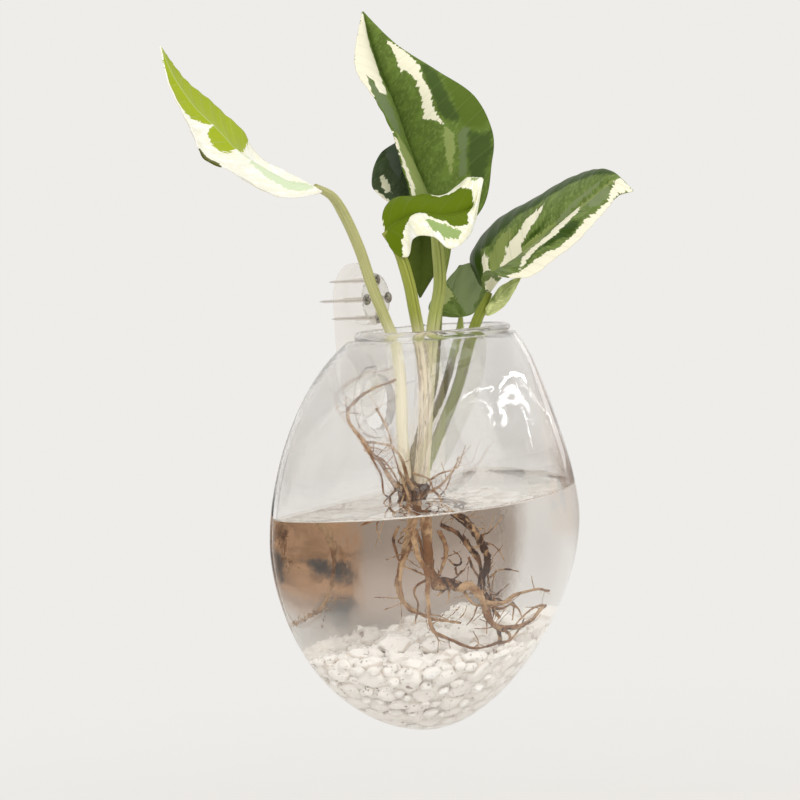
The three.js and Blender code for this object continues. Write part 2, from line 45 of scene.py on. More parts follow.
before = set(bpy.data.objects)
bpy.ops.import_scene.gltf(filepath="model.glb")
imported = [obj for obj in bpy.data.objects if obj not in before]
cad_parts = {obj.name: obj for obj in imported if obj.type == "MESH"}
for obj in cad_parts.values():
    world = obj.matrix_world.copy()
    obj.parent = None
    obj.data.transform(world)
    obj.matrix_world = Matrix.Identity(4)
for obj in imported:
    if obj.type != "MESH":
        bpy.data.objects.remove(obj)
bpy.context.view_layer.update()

MM = 0.001
FULL_TURN = 2 * math.pi
# the play between pieces that fit into each other
GAP = 0.0003
GLASS_IOR = 1.47
WATER_IOR = 1.333
PLASTIC_IOR = 1.46


# Settings

def number(name, description, default, **extra):
    return FloatProperty(name=name, description=description, default=default, **extra)


def length(name, description, default):
    return number(name, description, default, unit="LENGTH")


def power(name, description, default):
    return number(name, description, default, min=0.0, unit="POWER")


def colour(name, description, default):
    return FloatVectorProperty(
        name=name, description=description, default=default, subtype="COLOR", min=0.0, max=1.0
    )


class VaseSettings(bpy.types.PropertyGroup):
    half_width: length("Half width", "Half the width of the vase at its widest", 0.0715)
    depth: length("Depth", "From the flat back to the front", 0.075)
    wall: length("Wall", "Thickness of the glass", 0.002)
    behind: length("Behind", "Distance of the flat back from the wall", 0.004)
    widest_z: length("Widest height", "Height of the widest ring", -0.0826)
    below_widest: length("Below widest", "From the widest ring down to the foot", 0.0765)
    above_widest: length("Above widest", "From the widest ring to where the shoulders would close", 0.0794)
    roundness: number("Roundness", "2 is an ellipse", 1.77)
    middle_out: length("Middle out", "Middle of the round plan at the widest ring, from the back", 0.0085)
    foot_out: length("Foot out", "Middle of the round plan at the foot, from the back", 0.0193)
    mouth_out: length("Mouth out", "Middle of the round plan at the mouth, from the back", 0.0288)
    back_swell: number("Back swell", "Share of the radius behind the middle", 0.6)
    back_corner: length("Back corner", "Softness of the pressed back's edge", 0.005)
    rim_z: length("Rim height", "Height of the mouth's rim", -0.0128)
    lip_radius: length("Lip radius", "Radius of the melted lip", 0.0016)
    ring_radius: length("Eyelet radius", "Radius of the eyelet's bead ring", 0.0117)
    bead_radius: length("Bead radius", "Radius of the glass bead round the eyelet", 0.0019)
    eyelet_out: length("Eyelet out", "Middle of the bead from the flat back", 0.0024)
    eyelet_z: length("Eyelet height", "Height of the eyelet's middle", -0.0381)
    tint: colour("Glass tint", "Colour of the glass", (0.99, 0.985, 0.975))


class HookSettings(bpy.types.PropertyGroup):
    width: length("Width", "Width of the plate", 0.027)
    thickness: length("Thickness", "Thickness of the plate", 0.0034)
    foot_z: length("Foot height", "Height of the plate's lower end", -0.044)
    edge: length("Edge", "Rounding of the moulded edges", 0.0009)
    boss_radius: length("Boss radius", "Radius of the boss that holds the pins", 0.0096)
    boss_front: length("Boss front", "Distance of the boss's face from the wall", 0.010)
    peg_radius: length("Peg radius", "Radius of the peg", 0.003)
    peg_reach: length("Peg reach", "How far the peg stands out from the wall", 0.0175)
    peg_tilt: number("Peg tilt", "Rise of the peg", math.radians(25), subtype="ANGLE")
    pin_circle: length("Pin circle", "Radius of the circle of pins", 0.0069)
    head_radius: length("Pin head radius", "Radius of a pin's head", 0.002)
    head_height: length("Pin head height", "Height of a pin's head", 0.0012)
    shank_radius: length("Shank radius", "Radius of a pin's shank", 0.0006)
    into_wall: length("Into wall", "How far a pin goes into the wall", 0.011)
    plastic: colour("Plastic", "Colour of the clear plastic", (0.80, 0.765, 0.73))
    steel: colour("Steel", "Colour of the pins", (0.2, 0.185, 0.17))


class WaterSettings(bpy.types.PropertyGroup):
    level: length("Level", "Height of the water", -0.0725)
    meniscus: length("Meniscus", "How high the water climbs the glass", 0.0012)
    tint: colour("Water tint", "Colour of the water", (0.94, 0.925, 0.905))


class GravelSettings(bpy.types.PropertyGroup):
    middle_z: length("Middle height", "Height of the gravel in the middle", -0.120)
    middle_out: length("Middle out", "Where the middle is, from the vase's back", 0.033)
    rise_right: number("Rise to the right", "Slope of the heap to the right", 0.1)
    rise_back: number("Rise to the back", "Slope of the heap to the back", 0.17)
    stone: length("Stone", "Half the length of a usual small stone", 0.0031)
    chip: length("Chip", "Half the length of the larger stones against the glass", 0.006)
    rings: IntProperty(name="Rings", description="Rings of the larger stones", default=8, min=2)
    pitch: length("Pitch", "Distance of the larger stones along a ring", 0.0115)
    sink: length("Sink", "How deep the grit lies behind the outer stones", 0.0030)
    pale: colour("Pale stone", "Colour of the palest stones", (0.97, 0.955, 0.93))
    warm: colour("Warm stone", "Colour of the warmer stones", (0.89, 0.85, 0.81))
    speck: colour("Speck", "Colour of the dark specks", (0.16, 0.09, 0.055))


class LeafSettings(bpy.types.PropertyGroup):
    thickness: length("Thickness", "Thickness of a leaf", 0.00045)
    vein: length("Vein relief", "Height of the side veins", 0.00012)
    steps: IntProperty(name="Steps", description="Rows of faces along a leaf", default=110, min=10, max=160)
    green: colour("Green", "Colour of the blade", (0.078, 0.132, 0.014))
    deep: colour("Deep green", "Colour of the darkest parts", (0.036, 0.075, 0.004))
    bright: colour("Bright green", "Colour of the lit, young parts", (0.10, 0.168, 0.004))
    pale: colour("Pale green", "Colour of the pale green streaks", (0.27, 0.335, 0.10))
    grey: colour("Grey green", "Colour of the clouded parts", (0.15, 0.205, 0.08))
    cream: colour("Cream", "Colour of the pale streaks", (0.95, 0.91, 0.73))


class StemSettings(bpy.types.PropertyGroup):
    scar: colour("Scar", "Colour of the brown strips and scars", (0.13, 0.06, 0.028))
    root: colour("Root", "Colour of a clean root", (0.21, 0.09, 0.032))
    pale_root: colour("Pale root", "Colour of the palest roots", (0.52, 0.34, 0.19))
    crust: colour("Crust", "Colour of the crust on the roots", (0.055, 0.021, 0.009))
    knot: colour("Knot", "Colour of the crown", (0.075, 0.040, 0.030))


class StageSettings(bpy.types.PropertyGroup):
    floor_z: length("Floor height", "Height of the floor under the hanging vase", -0.40)
    backdrop: colour("Backdrop", "Colour of the backdrop", (0.86, 0.845, 0.82))
    ambient: number("Ambient", "Strength of the even light", 0.85, min=0.0)
    dim: colour("Dim side", "Colour that the glass shows at eye level", (0.60, 0.50, 0.44))
    dusk: colour("Dusk", "Colour that the glass shows below eye level", (0.39, 0.32, 0.27))
    warm: colour("Warm patch", "Colour of the warm patch at the side of the water", (0.52, 0.31, 0.18))
    brown: colour("Brown wisps", "Colour of the wisps in the warm patch", (0.30, 0.165, 0.085))
    dark: colour("Dark spots", "Colour of the dark spots in the warm patch", (0.085, 0.075, 0.07))
    behind: colour("Behind", "Colour that reflections show to the sides", (0.34, 0.31, 0.285))
    glint: power("Glint", "Power of the strip lights that the glass mirrors", 0.95)
    key: power("Key", "Power of the main soft light", 6.0)
    fill: power("Fill", "Power of the second soft light", 1.0)


# Node graphs

def both_ways(operation):
    """A Python operator and its reflected form, each as one Math node."""
    return (
        lambda wire, other: wire.graph.math(operation, wire, other),
        lambda wire, other: wire.graph.math(operation, other, wire),
    )


class Wire:
    """One output socket that takes part in Python sums."""

    __add__, __radd__ = both_ways("ADD")
    __sub__, __rsub__ = both_ways("SUBTRACT")
    __mul__, __rmul__ = both_ways("MULTIPLY")
    __truediv__, __rtruediv__ = both_ways("DIVIDE")
    __pow__, __rpow__ = both_ways("POWER")

    def __init__(self, graph, socket):
        self.graph = graph
        self.socket = socket

    def __abs__(self):
        return self.graph.math("ABSOLUTE", self)


class Graph:
    """The node tree of a new material or of the world."""

    def __init__(self, owner, output="ShaderNodeOutputMaterial"):
        owner.use_nodes = True
        self.owner = owner
        self.tree = owner.node_tree
        self.tree.nodes.clear()
        self.output = self.tree.nodes.new(output)

    def node(self, kind, settings=None, inputs=None, output=0):
        """Adds a node, sets it up, fills its sockets with values or links, and returns an output."""
        made = self.tree.nodes.new(kind)
        for key, value in (settings or {}).items():
            setattr(made, key, value)
        for key, value in (inputs or {}).items():
            if isinstance(value, Wire):
                self.tree.links.new(value.socket, made.inputs[key])
            else:
                made.inputs[key].default_value = value
        return Wire(self, made.outputs[output])

    def outputs(self, kind, names, inputs=None):
        """Adds a node and returns several of its outputs."""
        made = self.node(kind, inputs=inputs).socket.node
        return [Wire(self, made.outputs[name]) for name in names]

    def math(self, operation, first, second=0.0):
        return self.node("ShaderNodeMath", {"operation": operation}, {0: first, 1: second})

    def attribute(self, name):
        return self.node("ShaderNodeAttribute", {"attribute_name": name}, output="Fac")

    def object_place(self):
        return self.node("ShaderNodeTexCoord", output="Object")

    def rays(self, *kinds):
        """Whether a ray is of each of these kinds."""
        return self.outputs("ShaderNodeLightPath", [f"Is {kind} Ray" for kind in kinds])

    def split(self, vector):
        return self.outputs("ShaderNodeSeparateXYZ", ("X", "Y", "Z"), {0: vector})

    def join(self, x, y, z):
        return self.node("ShaderNodeCombineXYZ", inputs={0: x, 1: y, 2: z})

    def noise(self, place, scale, detail, roughness):
        return self.node(
            "ShaderNodeTexNoise",
            inputs={"Vector": place, "Scale": scale, "Detail": detail, "Roughness": roughness},
        )

    def step(self, value, low, high, start=0.0, end=1.0):
        """Goes smoothly from start to end as value goes from low to high."""
        return self.node(
            "ShaderNodeMapRange",
            {"interpolation_type": "SMOOTHSTEP"},
            {"Value": value, "From Min": low, "From Max": high, "To Min": start, "To Max": end},
        )

    def blend(self, share, first, second, kind="MIX"):
        """Mixes two colours."""
        def paint(value):
            return value if isinstance(value, Wire) else (*value, 1.0)
        return self.node(
            "ShaderNodeMix",
            {"data_type": "RGBA", "blend_type": kind},
            {0: share, 6: paint(first), 7: paint(second)},
            output=2,
        )

    def bump(self, height, distance, strength=1.0):
        inputs = {"Height": height, "Distance": distance, "Strength": strength}
        return self.node("ShaderNodeBump", inputs=inputs)

    def see_through(self, shade):
        return self.node("ShaderNodeBsdfTransparent", inputs={0: (*shade, 1.0)})

    def mix(self, share, first, second):
        """Mixes two shaders."""
        return self.node("ShaderNodeMixShader", inputs={0: share, 1: first, 2: second})

    def finish(self, surface):
        self.tree.links.new(surface.socket, self.output.inputs["Surface"])
        return self.owner


def new_graph(name):
    return Graph(bpy.data.materials.new(name))


def principled(graph, **inputs):
    names = {
        "color": "Base Color", "roughness": "Roughness", "metallic": "Metallic", "normal": "Normal",
        "ior": "IOR", "transmission": "Transmission Weight", "specular": "Specular IOR Level",
    }
    sockets = {}
    for key, value in inputs.items():
        if key == "color" and not isinstance(value, Wire):
            value = (*value, 1.0)
        sockets[names[key]] = value
    return graph.node("ShaderNodeBsdfPrincipled", inputs=sockets)


def clear_material(name, tint, ior, shade, normal_of=None, veil_of=None):
    """A clear material that lets the lamps' light through, as thin glass does."""
    graph = new_graph(name)
    inputs = {"color": tint, "roughness": 0.0, "ior": ior, "transmission": 1.0}
    if normal_of:
        inputs["normal"] = normal_of(graph)
    solid = principled(graph, **inputs)
    shadow, diffuse = graph.rays("Shadow", "Diffuse")
    passing = graph.step(shadow + diffuse, 0.0, 1.0, veil_of(graph) if veil_of else 0.0, 1.0)
    return graph.finish(graph.mix(passing, solid, graph.see_through(shade)))


# Shared modelling

def centripetal(points, place):
    """The point at place, from 0 to 1, on the smooth curve through points, as the frame draws it."""
    last = len(points) - 1
    at = min(max(place, 0.0), 1.0) * last
    i = min(int(at), last - 1)
    share = at - i
    p1, p2 = points[i], points[i + 1]
    p0 = points[i - 1] if i > 0 else p1 * 2 - p2
    p3 = points[i + 2] if i + 2 <= last else p2 * 2 - p1
    d1 = (p2 - p1).length_squared ** 0.25 or 1.0
    d0 = (p1 - p0).length_squared ** 0.25 or d1
    d2 = (p3 - p2).length_squared ** 0.25 or d1
    out = ((p1 - p0) / d0 - (p2 - p0) / (d0 + d1) + (p2 - p1) / d1) * d1
    into = ((p2 - p1) / d1 - (p3 - p1) / (d1 + d2) + (p3 - p2) / d2) * d1
    s2, s3 = share * share, share ** 3
    return (
        p1 * (2 * s3 - 3 * s2 + 1) + out * (s3 - 2 * s2 + share)
        + p2 * (3 * s2 - 2 * s3) + into * (s3 - s2)
    )


def route(points_mm):
    return [Vector(p) * MM for p in points_mm]


def make_object(name, shape, materials, sharp=50):
    """Turns a bmesh into a smooth-shaded object at the origin."""
    mesh = bpy.data.meshes.new(name)
    shape.to_mesh(mesh)
    shape.free()
    mesh.shade_smooth()
    mesh.set_sharp_from_angle(angle=math.radians(sharp))
    for material in materials:
        mesh.materials.append(material)
    made = bpy.data.objects.new(name, mesh)
    bpy.context.scene.collection.objects.link(made)
    return made


def place_piece(piece, body, slot, *nodes):
    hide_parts(*nodes)
    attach(piece, body)
    return piece


def carve(target, tool, operation):
    """Cuts a tool out of the target or joins it on, and removes the tool."""
    modifier = target.modifiers.new("carve", "BOOLEAN")
    modifier.operation = operation
    modifier.solver = "EXACT"
    modifier.object = tool
    bpy.context.view_layer.update()
    graph = bpy.context.evaluated_depsgraph_get()
    shaped = bpy.data.meshes.new_from_object(target.evaluated_get(graph))
    if len(shaped.vertices) < 10:
        raise RuntimeError(f"{target.name} was lost while it was shaped")
    target.modifiers.clear()
    target.data = shaped
    bpy.data.objects.remove(tool)


def face_out(shape):
    bmesh.ops.recalc_face_normals(shape, faces=shape.faces)


def lay_along_y(shape, way):
    """Turns a shape that was spun round Z by a quarter, its top to the front or, for -1, to the back."""
    turn = Matrix.Rotation(way * math.pi / 2, 3, "X")
    bmesh.ops.rotate(shape, verts=shape.verts, cent=(0, 0, 0), matrix=turn)


def drill(target, place, radius, depth, segments, material):
    """Bores a round hole along Y."""
    tool = bmesh.new()
    bmesh.ops.create_cone(
        tool, cap_ends=True, segments=segments, radius1=radius, radius2=radius, depth=depth,
        matrix=Matrix.Translation(place) @ Matrix.Rotation(math.pi / 2, 4, "X"),
    )
    carve(target, make_object("drill", tool, [material]), "DIFFERENCE")


def join_into(shape, part):
    """Adds one bmesh to another and frees it."""
    batch = bpy.data.meshes.new("batch")
    part.to_mesh(batch)
    part.free()
    shape.from_mesh(batch)
    bpy.data.meshes.remove(batch)


def spin_round(shape, geom, centre, axis, steps):
    """Spins edges once round an axis and closes the seam and the poles."""
    bmesh.ops.spin(
        shape, geom=geom, cent=centre, axis=axis, dvec=(0, 0, 0),
        angle=FULL_TURN, steps=steps, use_merge=True, use_duplicate=False,
    )
    bmesh.ops.remove_doubles(shape, verts=shape.verts, dist=1e-6)


def spin_profile(shape, profile, steps, insets=None):
    """Spins a profile of (radius, height) once round Z. Insets are noted on its corners."""
    layer = shape.verts.layers.float.new("inset") if insets else None
    corners = []
    for i, (radius, height) in enumerate(profile):
        corner = shape.verts.new((radius, 0.0, height))
        if insets:
            corner[layer] = insets[i]
        corners.append(corner)
    edges = [shape.edges.new(pair) for pair in zip(corners, corners[1:])]
    spin_round(shape, corners + edges, (0, 0, 0), (0, 0, 1), steps)
    return layer


def ring_edges(ring):
    return list({edge for corner in ring for edge in corner.link_edges if edge.other_vert(corner) in ring})


def sweep(shape, centre, radius_at, steps, sides, extra=None):
    """Extrudes a ring along a curve. radius_at and extra work on the place from 0 to 1."""
    uv = shape.loops.layers.uv.verify()
    places = [i / steps for i in range(steps + 1)]
    points = [centre(place) for place in places]
    side = (points[1] - points[0]).normalized().orthogonal().normalized()
    ring = bmesh.ops.create_circle(shape, cap_ends=False, segments=sides, radius=1.0)["verts"]
    first_ring = ring
    run = previous = 0.0
    for k, place in enumerate(places):
        ahead = (points[min(k + 1, steps)] - points[max(k - 1, 0)]).normalized()
        side = (side - ahead * side.dot(ahead)).normalized()
        up = ahead.cross(side)
        if k:
            run += (points[k] - points[k - 1]).length
            made = bmesh.ops.extrude_edge_only(shape, edges=ring_edges(ring))["geom"]
            fresh = {g for g in made if isinstance(g, bmesh.types.BMVert)}
            grown = {
                corner: edge.other_vert(corner)
                for corner in ring for edge in corner.link_edges if edge.other_vert(corner) in fresh
            }
            new_ring = [grown[corner] for corner in ring]
            for face in made:
                if isinstance(face, bmesh.types.BMFace):
                    for loop in face.loops:
                        old = loop.vert in grown
                        turn = (ring if old else new_ring).index(loop.vert)
                        loop[uv].uv = (turn / sides, (previous if old else run) * 10)
            ring = new_ring
        previous = run
        radius = radius_at(place)
        for j, corner in enumerate(ring):
            turn = FULL_TURN * j / sides
            reach = radius * (1.0 + (extra(place, turn) if extra else 0.0))
            corner.co = points[k] + side * (math.cos(turn) * reach) + up * (math.sin(turn) * reach)
    for loop_ring in (first_ring, ring):
        cap = bmesh.ops.contextual_create(shape, geom=ring_edges(loop_ring))["faces"]
        bmesh.ops.poke(shape, faces=cap)


# Glass vase

# the heights, just over the water, between which the light's straight share grows
CLEAR_HEIGHTS = (-0.070, -0.060)


def bulb_section(vase, z, inset):
    height = z - vase.widest_z
    lift = min(max(height / (vase.rim_z - vase.widest_z), 0.0), 1.0) ** 2
    drop = min(max(-height / vase.below_widest, 0.0), 1.0) ** 2
    middle = vase.middle_out
    middle += (vase.mouth_out - vase.middle_out) * lift + (vase.foot_out - vase.middle_out) * drop
    front = (vase.depth - inset - middle) / (vase.half_width - inset)
    return middle, front + (1 - front) * lift, vase.back_swell + (1 - vase.back_swell) * lift


def bulb_radius(vase, z, inset):
    reach = vase.below_widest if z < vase.widest_z else vase.above_widest
    share = min(abs(z - vase.widest_z) / (reach - inset), 1.0)
    return (vase.half_width - inset) * (1.0 - share ** vase.roundness) ** (1.0 / vase.roundness)


def bulb_point(vase, place, inset, level=None):
    """Moves a point of a round body to where the pressed bulb has it."""
    middle, front, back = bulb_section(vase, place.z if level is None else level, inset)
    radius = math.hypot(place.x, place.y)
    side = -place.y / radius if radius > 1e-9 else 0.0
    out = middle + radius * (front if side > 0 else back) * side
    pressed = inset + vase.back_corner * math.log1p(math.exp((out - inset) / vase.back_corner))
    return Vector((place.x, -vase.behind - pressed, place.z))


def wall_point(vase, inset, turn, z, share=1.0):
    """A point at a height on the bulb's skin, or nearer its middle where the share is below 1."""
    radius = bulb_radius(vase, z, inset) * share
    return bulb_point(vase, Vector((radius * math.cos(turn), radius * math.sin(turn), z)), inset)


def bulb_levels(vase, inset, top, below=54, above=44):
    levels = []
    for i in range(below):
        turn = (i + 0.35) * math.pi / 2 / below if i else 0.0
        levels.append(vase.widest_z - (vase.below_widest - inset) * math.cos(turn))
    for i in range(above + 1):
        levels.append(vase.widest_z + (top - vase.widest_z) * i / above)
    return levels


class TERRARIUM_OT_glass(bpy.types.Operator):
    """Blows the glass vase with its lip and its hanging eyelet"""

    bl_idname = "terrarium.glass"
    bl_label = "Glass Vase"

    def execute(self, context):
        vase = context.scene.terrarium_vase
        outer = bulb_levels(vase, 0.0, vase.rim_z)
        inner = bulb_levels(vase, vase.wall, vase.rim_z)
        profile, insets = [], []
        for z in outer[:-1]:
            profile.append((bulb_radius(vase, z, 0.0), z))
            insets.append(0.0)
        outer_radius = bulb_radius(vase, vase.rim_z, 0.0)
        inner_radius = bulb_radius(vase, vase.rim_z, vase.wall)
        middle = (outer_radius + inner_radius) / 2
        for i in range(15):
            turn = math.radians(-55 + 290 * i / 14)
            profile.append((
                middle + vase.lip_radius * math.cos(turn),
                vase.rim_z + vase.lip_radius * math.sin(turn),
            ))
            insets.append(0.0 if math.cos(turn) > 0 else vase.wall * 0.5)
        for z in reversed(inner[:-1]):
            profile.append((bulb_radius(vase, z, vase.wall), z))
            insets.append(vase.wall)
        shape = bmesh.new()
        layer = spin_profile(shape, profile, 160, insets)
        for corner in shape.verts:
            level = min(corner.co.z, vase.rim_z)
            corner.co = bulb_point(vase, corner.co, corner[layer], level)
        face_out(shape)
        glass = clear_material(
            "clear blown glass", vase.tint, GLASS_IOR, (0.99, 0.985, 0.98), self.ripples, self.veil
        )
        piece = make_object("blown_vase", shape, [glass])
        drill(piece, (0, -vase.behind - 0.001, vase.eyelet_z), vase.ring_radius, 0.008, 64, glass)
        middle = (0, -vase.behind - vase.eyelet_out, vase.eyelet_z)
        bead = bmesh.new()
        ring = bmesh.ops.create_circle(
            bead, segments=20, radius=vase.bead_radius,
            matrix=Matrix.Translation(middle) @ Matrix.Translation((vase.ring_radius, 0, 0)),
        )["verts"]
        spin_round(bead, ring + list(bead.edges), middle, (0, 1, 0), 72)
        face_out(bead)
        carve(piece, make_object("bead_tool", bead, [glass]), "UNION")
        piece.data.shade_smooth()
        piece.data.set_sharp_from_angle(angle=math.radians(32))
        place_piece(piece, "vase", "clear_glass", "glass_vase")
        return {"FINISHED"}

    def ripples(self, graph):
        """The slight waves of blown glass, with finer ones on them."""
        place = graph.object_place()
        height = graph.noise(place, 70.0, 1.0, 0.4) + graph.noise(place, 420.0, 2.0, 0.5) * 0.10
        return graph.bump(height, 0.00016)

    def veil(self, graph):
        """Above the water a part of the light goes straight through the thin glass."""
        _, _, z = graph.split(graph.object_place())
        return graph.step(z, *CLEAR_HEIGHTS) * 0.2


MENISCUS_WIDTH = 0.0042
# the water reaches a hair into the glass, so that no air shows between them
WATER_OVERLAP = 0.00005


class TERRARIUM_OT_water(bpy.types.Operator):
    """Fills the vase with water that climbs the glass a little at its edge"""

    bl_idname = "terrarium.water"
    bl_label = "Water"

    def execute(self, context):
        vase = context.scene.terrarium_vase
        water = context.scene.terrarium_water
        inset = vase.wall - WATER_OVERLAP
        top = water.level + water.meniscus
        levels = [z for z in bulb_levels(vase, inset, top) if z < top - 0.0002] + [top]
        profile = [(bulb_radius(vase, z, inset), z) for z in levels]
        edge = profile[-1][0]
        for i in range(1, 9):
            drop = i / 8
            climb = water.meniscus * math.exp(-3.2 * drop) * (1 - drop)
            profile.append((edge - MENISCUS_WIDTH * drop, water.level + climb))
        for i in range(1, 13):
            profile.append(((edge - MENISCUS_WIDTH) * (1 - i / 12), water.level))
        shape = bmesh.new()
        spin_profile(shape, profile, 128)
        for corner in shape.verts:
            corner.co = bulb_point(vase, corner.co, inset)
        face_out(shape)
        fluid = clear_material("still water", water.tint, WATER_IOR, (0.995, 0.99, 0.985))
        piece = make_object("still_water", shape, [fluid], 60)
        place_piece(piece, "vase", "water", "water")
        return {"FINISHED"}


# Gravel

def gravel_top(gravel, vase, x, y):
    back = y + vase.behind + gravel.middle_out
    ripple = 0.001 * math.sin(x / 0.006) * math.cos(y / 0.007)
    return gravel.middle_z + gravel.rise_right * x + gravel.rise_back * back + ripple


def depth_inside(vase, place):
    """How far a point lies inside the inner face of the glass, in metres."""
    if place.z < vase.widest_z - vase.below_widest + vase.wall:
        return -1.0
    middle, front, back = bulb_section(vase, place.z, vase.wall)
    radius = bulb_radius(vase, place.z, vase.wall)
    pressed = -place.y - vase.behind - vase.wall
    if pressed <= 0:
        return -1.0
    soft = vase.back_corner
    out = vase.wall + soft * math.log(max(math.expm1(pressed / soft), 1e-9)) - middle
    swell = front if out > 0 else back
    rho = math.hypot(place.x, out / swell)
    below = place.z - (vase.widest_z - vase.below_widest + vase.wall)
    return min(radius - rho, pressed, below)


# how much of what stands over a flat side is worn off, and how far out those sides lie
CHIP_FLATNESS = 0.88
CHIP_REACH = (0.62, 0.86)
# the small stones come in four goes, from the largest to the smallest
STONE_TRIES = 90000
STONE_SHARES = (1.5, 1.15, 0.85, 0.65)
# stones may reach a little into each other, and are looked for in cells of this size
STONE_NEARNESS = 0.8
CELL = 0.012
# the grit's skin: the size of its grains, how far they stand out, and the share of a grain that does
GRAIN = 0.0042
GRAIN_RELIEF = 0.0011
GRAIN_LEVEL = 0.45
# the heights between which painted shade makes the stones greyer, and the painted shade in the gaps between
# them fainter, to the foot
FOOT_SHADE = (-0.128, -0.156)
GAP_SHADE_FADE = (-0.128, -0.158)


def worn_chip(ball, cuts, seed, rough):
    """Turns a point of the unit ball into one of a quartz chip with soft, flat sides."""
    for normal, reach in cuts:
        over = ball.dot(normal) - reach
        if over > 0:
            ball = ball - normal * over * CHIP_FLATNESS
    return ball * (1.0 + rough * noise.noise(ball * 1.7 + seed))


def any_way(dice):
    return Vector((dice.gauss(0, 1), dice.gauss(0, 1), dice.gauss(0, 1))).normalized()


def chip_cuts(dice, count):
    """Random flat sides for one stone."""
    cuts = []
    for _ in range(count):
        normal = any_way(dice)
        cuts.append((normal, dice.uniform(*CHIP_REACH)))
    return cuts


def random_seed(dice):
    return Vector((dice.uniform(0, 50), dice.uniform(0, 50), dice.uniform(0, 50)))


def any_turn(dice):
    return Matrix.Rotation(dice.uniform(0, 6.283), 3, "Z")


def stone_shape(shape, place, half, dice):
    """Adds one small stone of few faces."""
    corners = bmesh.ops.create_uvsphere(shape, u_segments=8, v_segments=6, radius=1.0)["verts"]
    stretch = Vector((dice.uniform(0.95, 1.3), dice.uniform(0.85, 1.0), dice.uniform(0.7, 0.9)))
    turn = any_turn(dice) @ Matrix.Rotation(dice.uniform(-0.7, 0.7), 3, "X")
    cuts = chip_cuts(dice, 5)
    seed = random_seed(dice)
    for corner in corners:
        ball = worn_chip(corner.co.copy(), cuts, seed, 0.3)
        corner.co = place + turn @ (ball * stretch) * half
    return corners


def mark_shaded_gaps(shape, stones):
    """Notes how near each spot of the stones is to the gap between two of them, where shade is painted."""
    tree = kdtree.KDTree(len(stones))
    for i, (place, half) in enumerate(stones):
        tree.insert(place, i)
    tree.balance()
    layer = shape.verts.layers.float.new("gap")
    for corner in shape.verts:
        shares = sorted(far / stones[i][1] for _, i, far in tree.find_n(corner.co, 5))
        corner[layer] = shares[1] - shares[0]


def stone_material(name, gravel):
    graph = new_graph(name)
    place = graph.object_place()
    tone = graph.attribute("tone")
    cloud = graph.noise(place, 210.0, 4.0, 0.6)
    grain = graph.noise(place, 1300.0, 3.0, 0.65)
    warm = graph.step(tone * 0.8 + (cloud - 0.5), 0.45, 1.0)
    body = graph.blend(warm * 0.8, gravel.pale, gravel.warm)
    milky_and_shade = graph.blend(graph.step(cloud, 0.45, 0.7) * 0.6, body, (1.0, 0.985, 0.965))
    speck = graph.step(graph.noise(place, 620.0, 2.0, 0.7), 0.62, 0.66)
    speck = speck * graph.step(graph.noise(place, 95.0, 2.0, 0.5), 0.42, 0.58)
    stain = graph.step(graph.noise(place, 150.0, 2.0, 0.6), 0.69, 0.73)
    _, _, z = graph.split(place)
    # painted shade: the stones get greyer towards the foot of the heap
    milky_and_shade = graph.blend(graph.step(z, *FOOT_SHADE) * 0.5, milky_and_shade, (0.78, 0.755, 0.73), "MULTIPLY")
    # painted shade in the gaps between the stones, fainter towards the foot
    gap = graph.step(graph.attribute("gap") + (cloud - 0.5) * 0.12, 0.26, 0.02)
    gap = gap * graph.step(z, GAP_SHADE_FADE[1], GAP_SHADE_FADE[0], 0.2, 0.6)
    milky_and_shade = graph.blend(gap, milky_and_shade, (0.62, 0.54, 0.47), "MULTIPLY")
    painted = graph.blend(speck * 0.8, milky_and_shade, gravel.speck)
    painted = graph.blend(stain * 0.75, painted, (0.20, 0.10, 0.07))
    rough = graph.step(grain, 0.3, 0.7, 0.3, 0.55)
    bumpy = graph.bump(cloud * 0.6 + grain * 0.3, 0.0006)
    return graph.finish(principled(
        graph, color=painted, roughness=rough, normal=bumpy, specular=0.3,
    ))


def chip_places(vase, gravel):
    """Rings of the larger stones that show through the glass, as the frame has them."""
    inset = vase.wall + GAP + gravel.chip * 0.9
    drop = vase.below_widest - inset

    def level_at(bow):
        return vase.widest_z - drop * math.cos(bow)

    def bow_at(z):
        return math.acos((vase.widest_z - z) / drop)

    places = []
    middle_bow = bow_at(gravel.middle_z)
    for ring in range(gravel.rings):
        share = ring / (gravel.rings - 1)
        radius = bulb_radius(vase, level_at(middle_bow * share), inset)
        around = math.pi * (radius + radius * vase.depth / (2 * vase.half_width))
        count = max(round(around / gravel.pitch), 1)
        for i in range(count):
            turn = -FULL_TURN * (i + (ring % 2) / 2) / count
            rim = wall_point(vase, inset, turn, level_at(middle_bow))
            top_bow = bow_at(gravel_top(gravel, vase, rim.x, rim.y) - gravel.chip * 0.7)
            places.append(wall_point(vase, inset, turn, level_at(top_bow * share)))
    return places


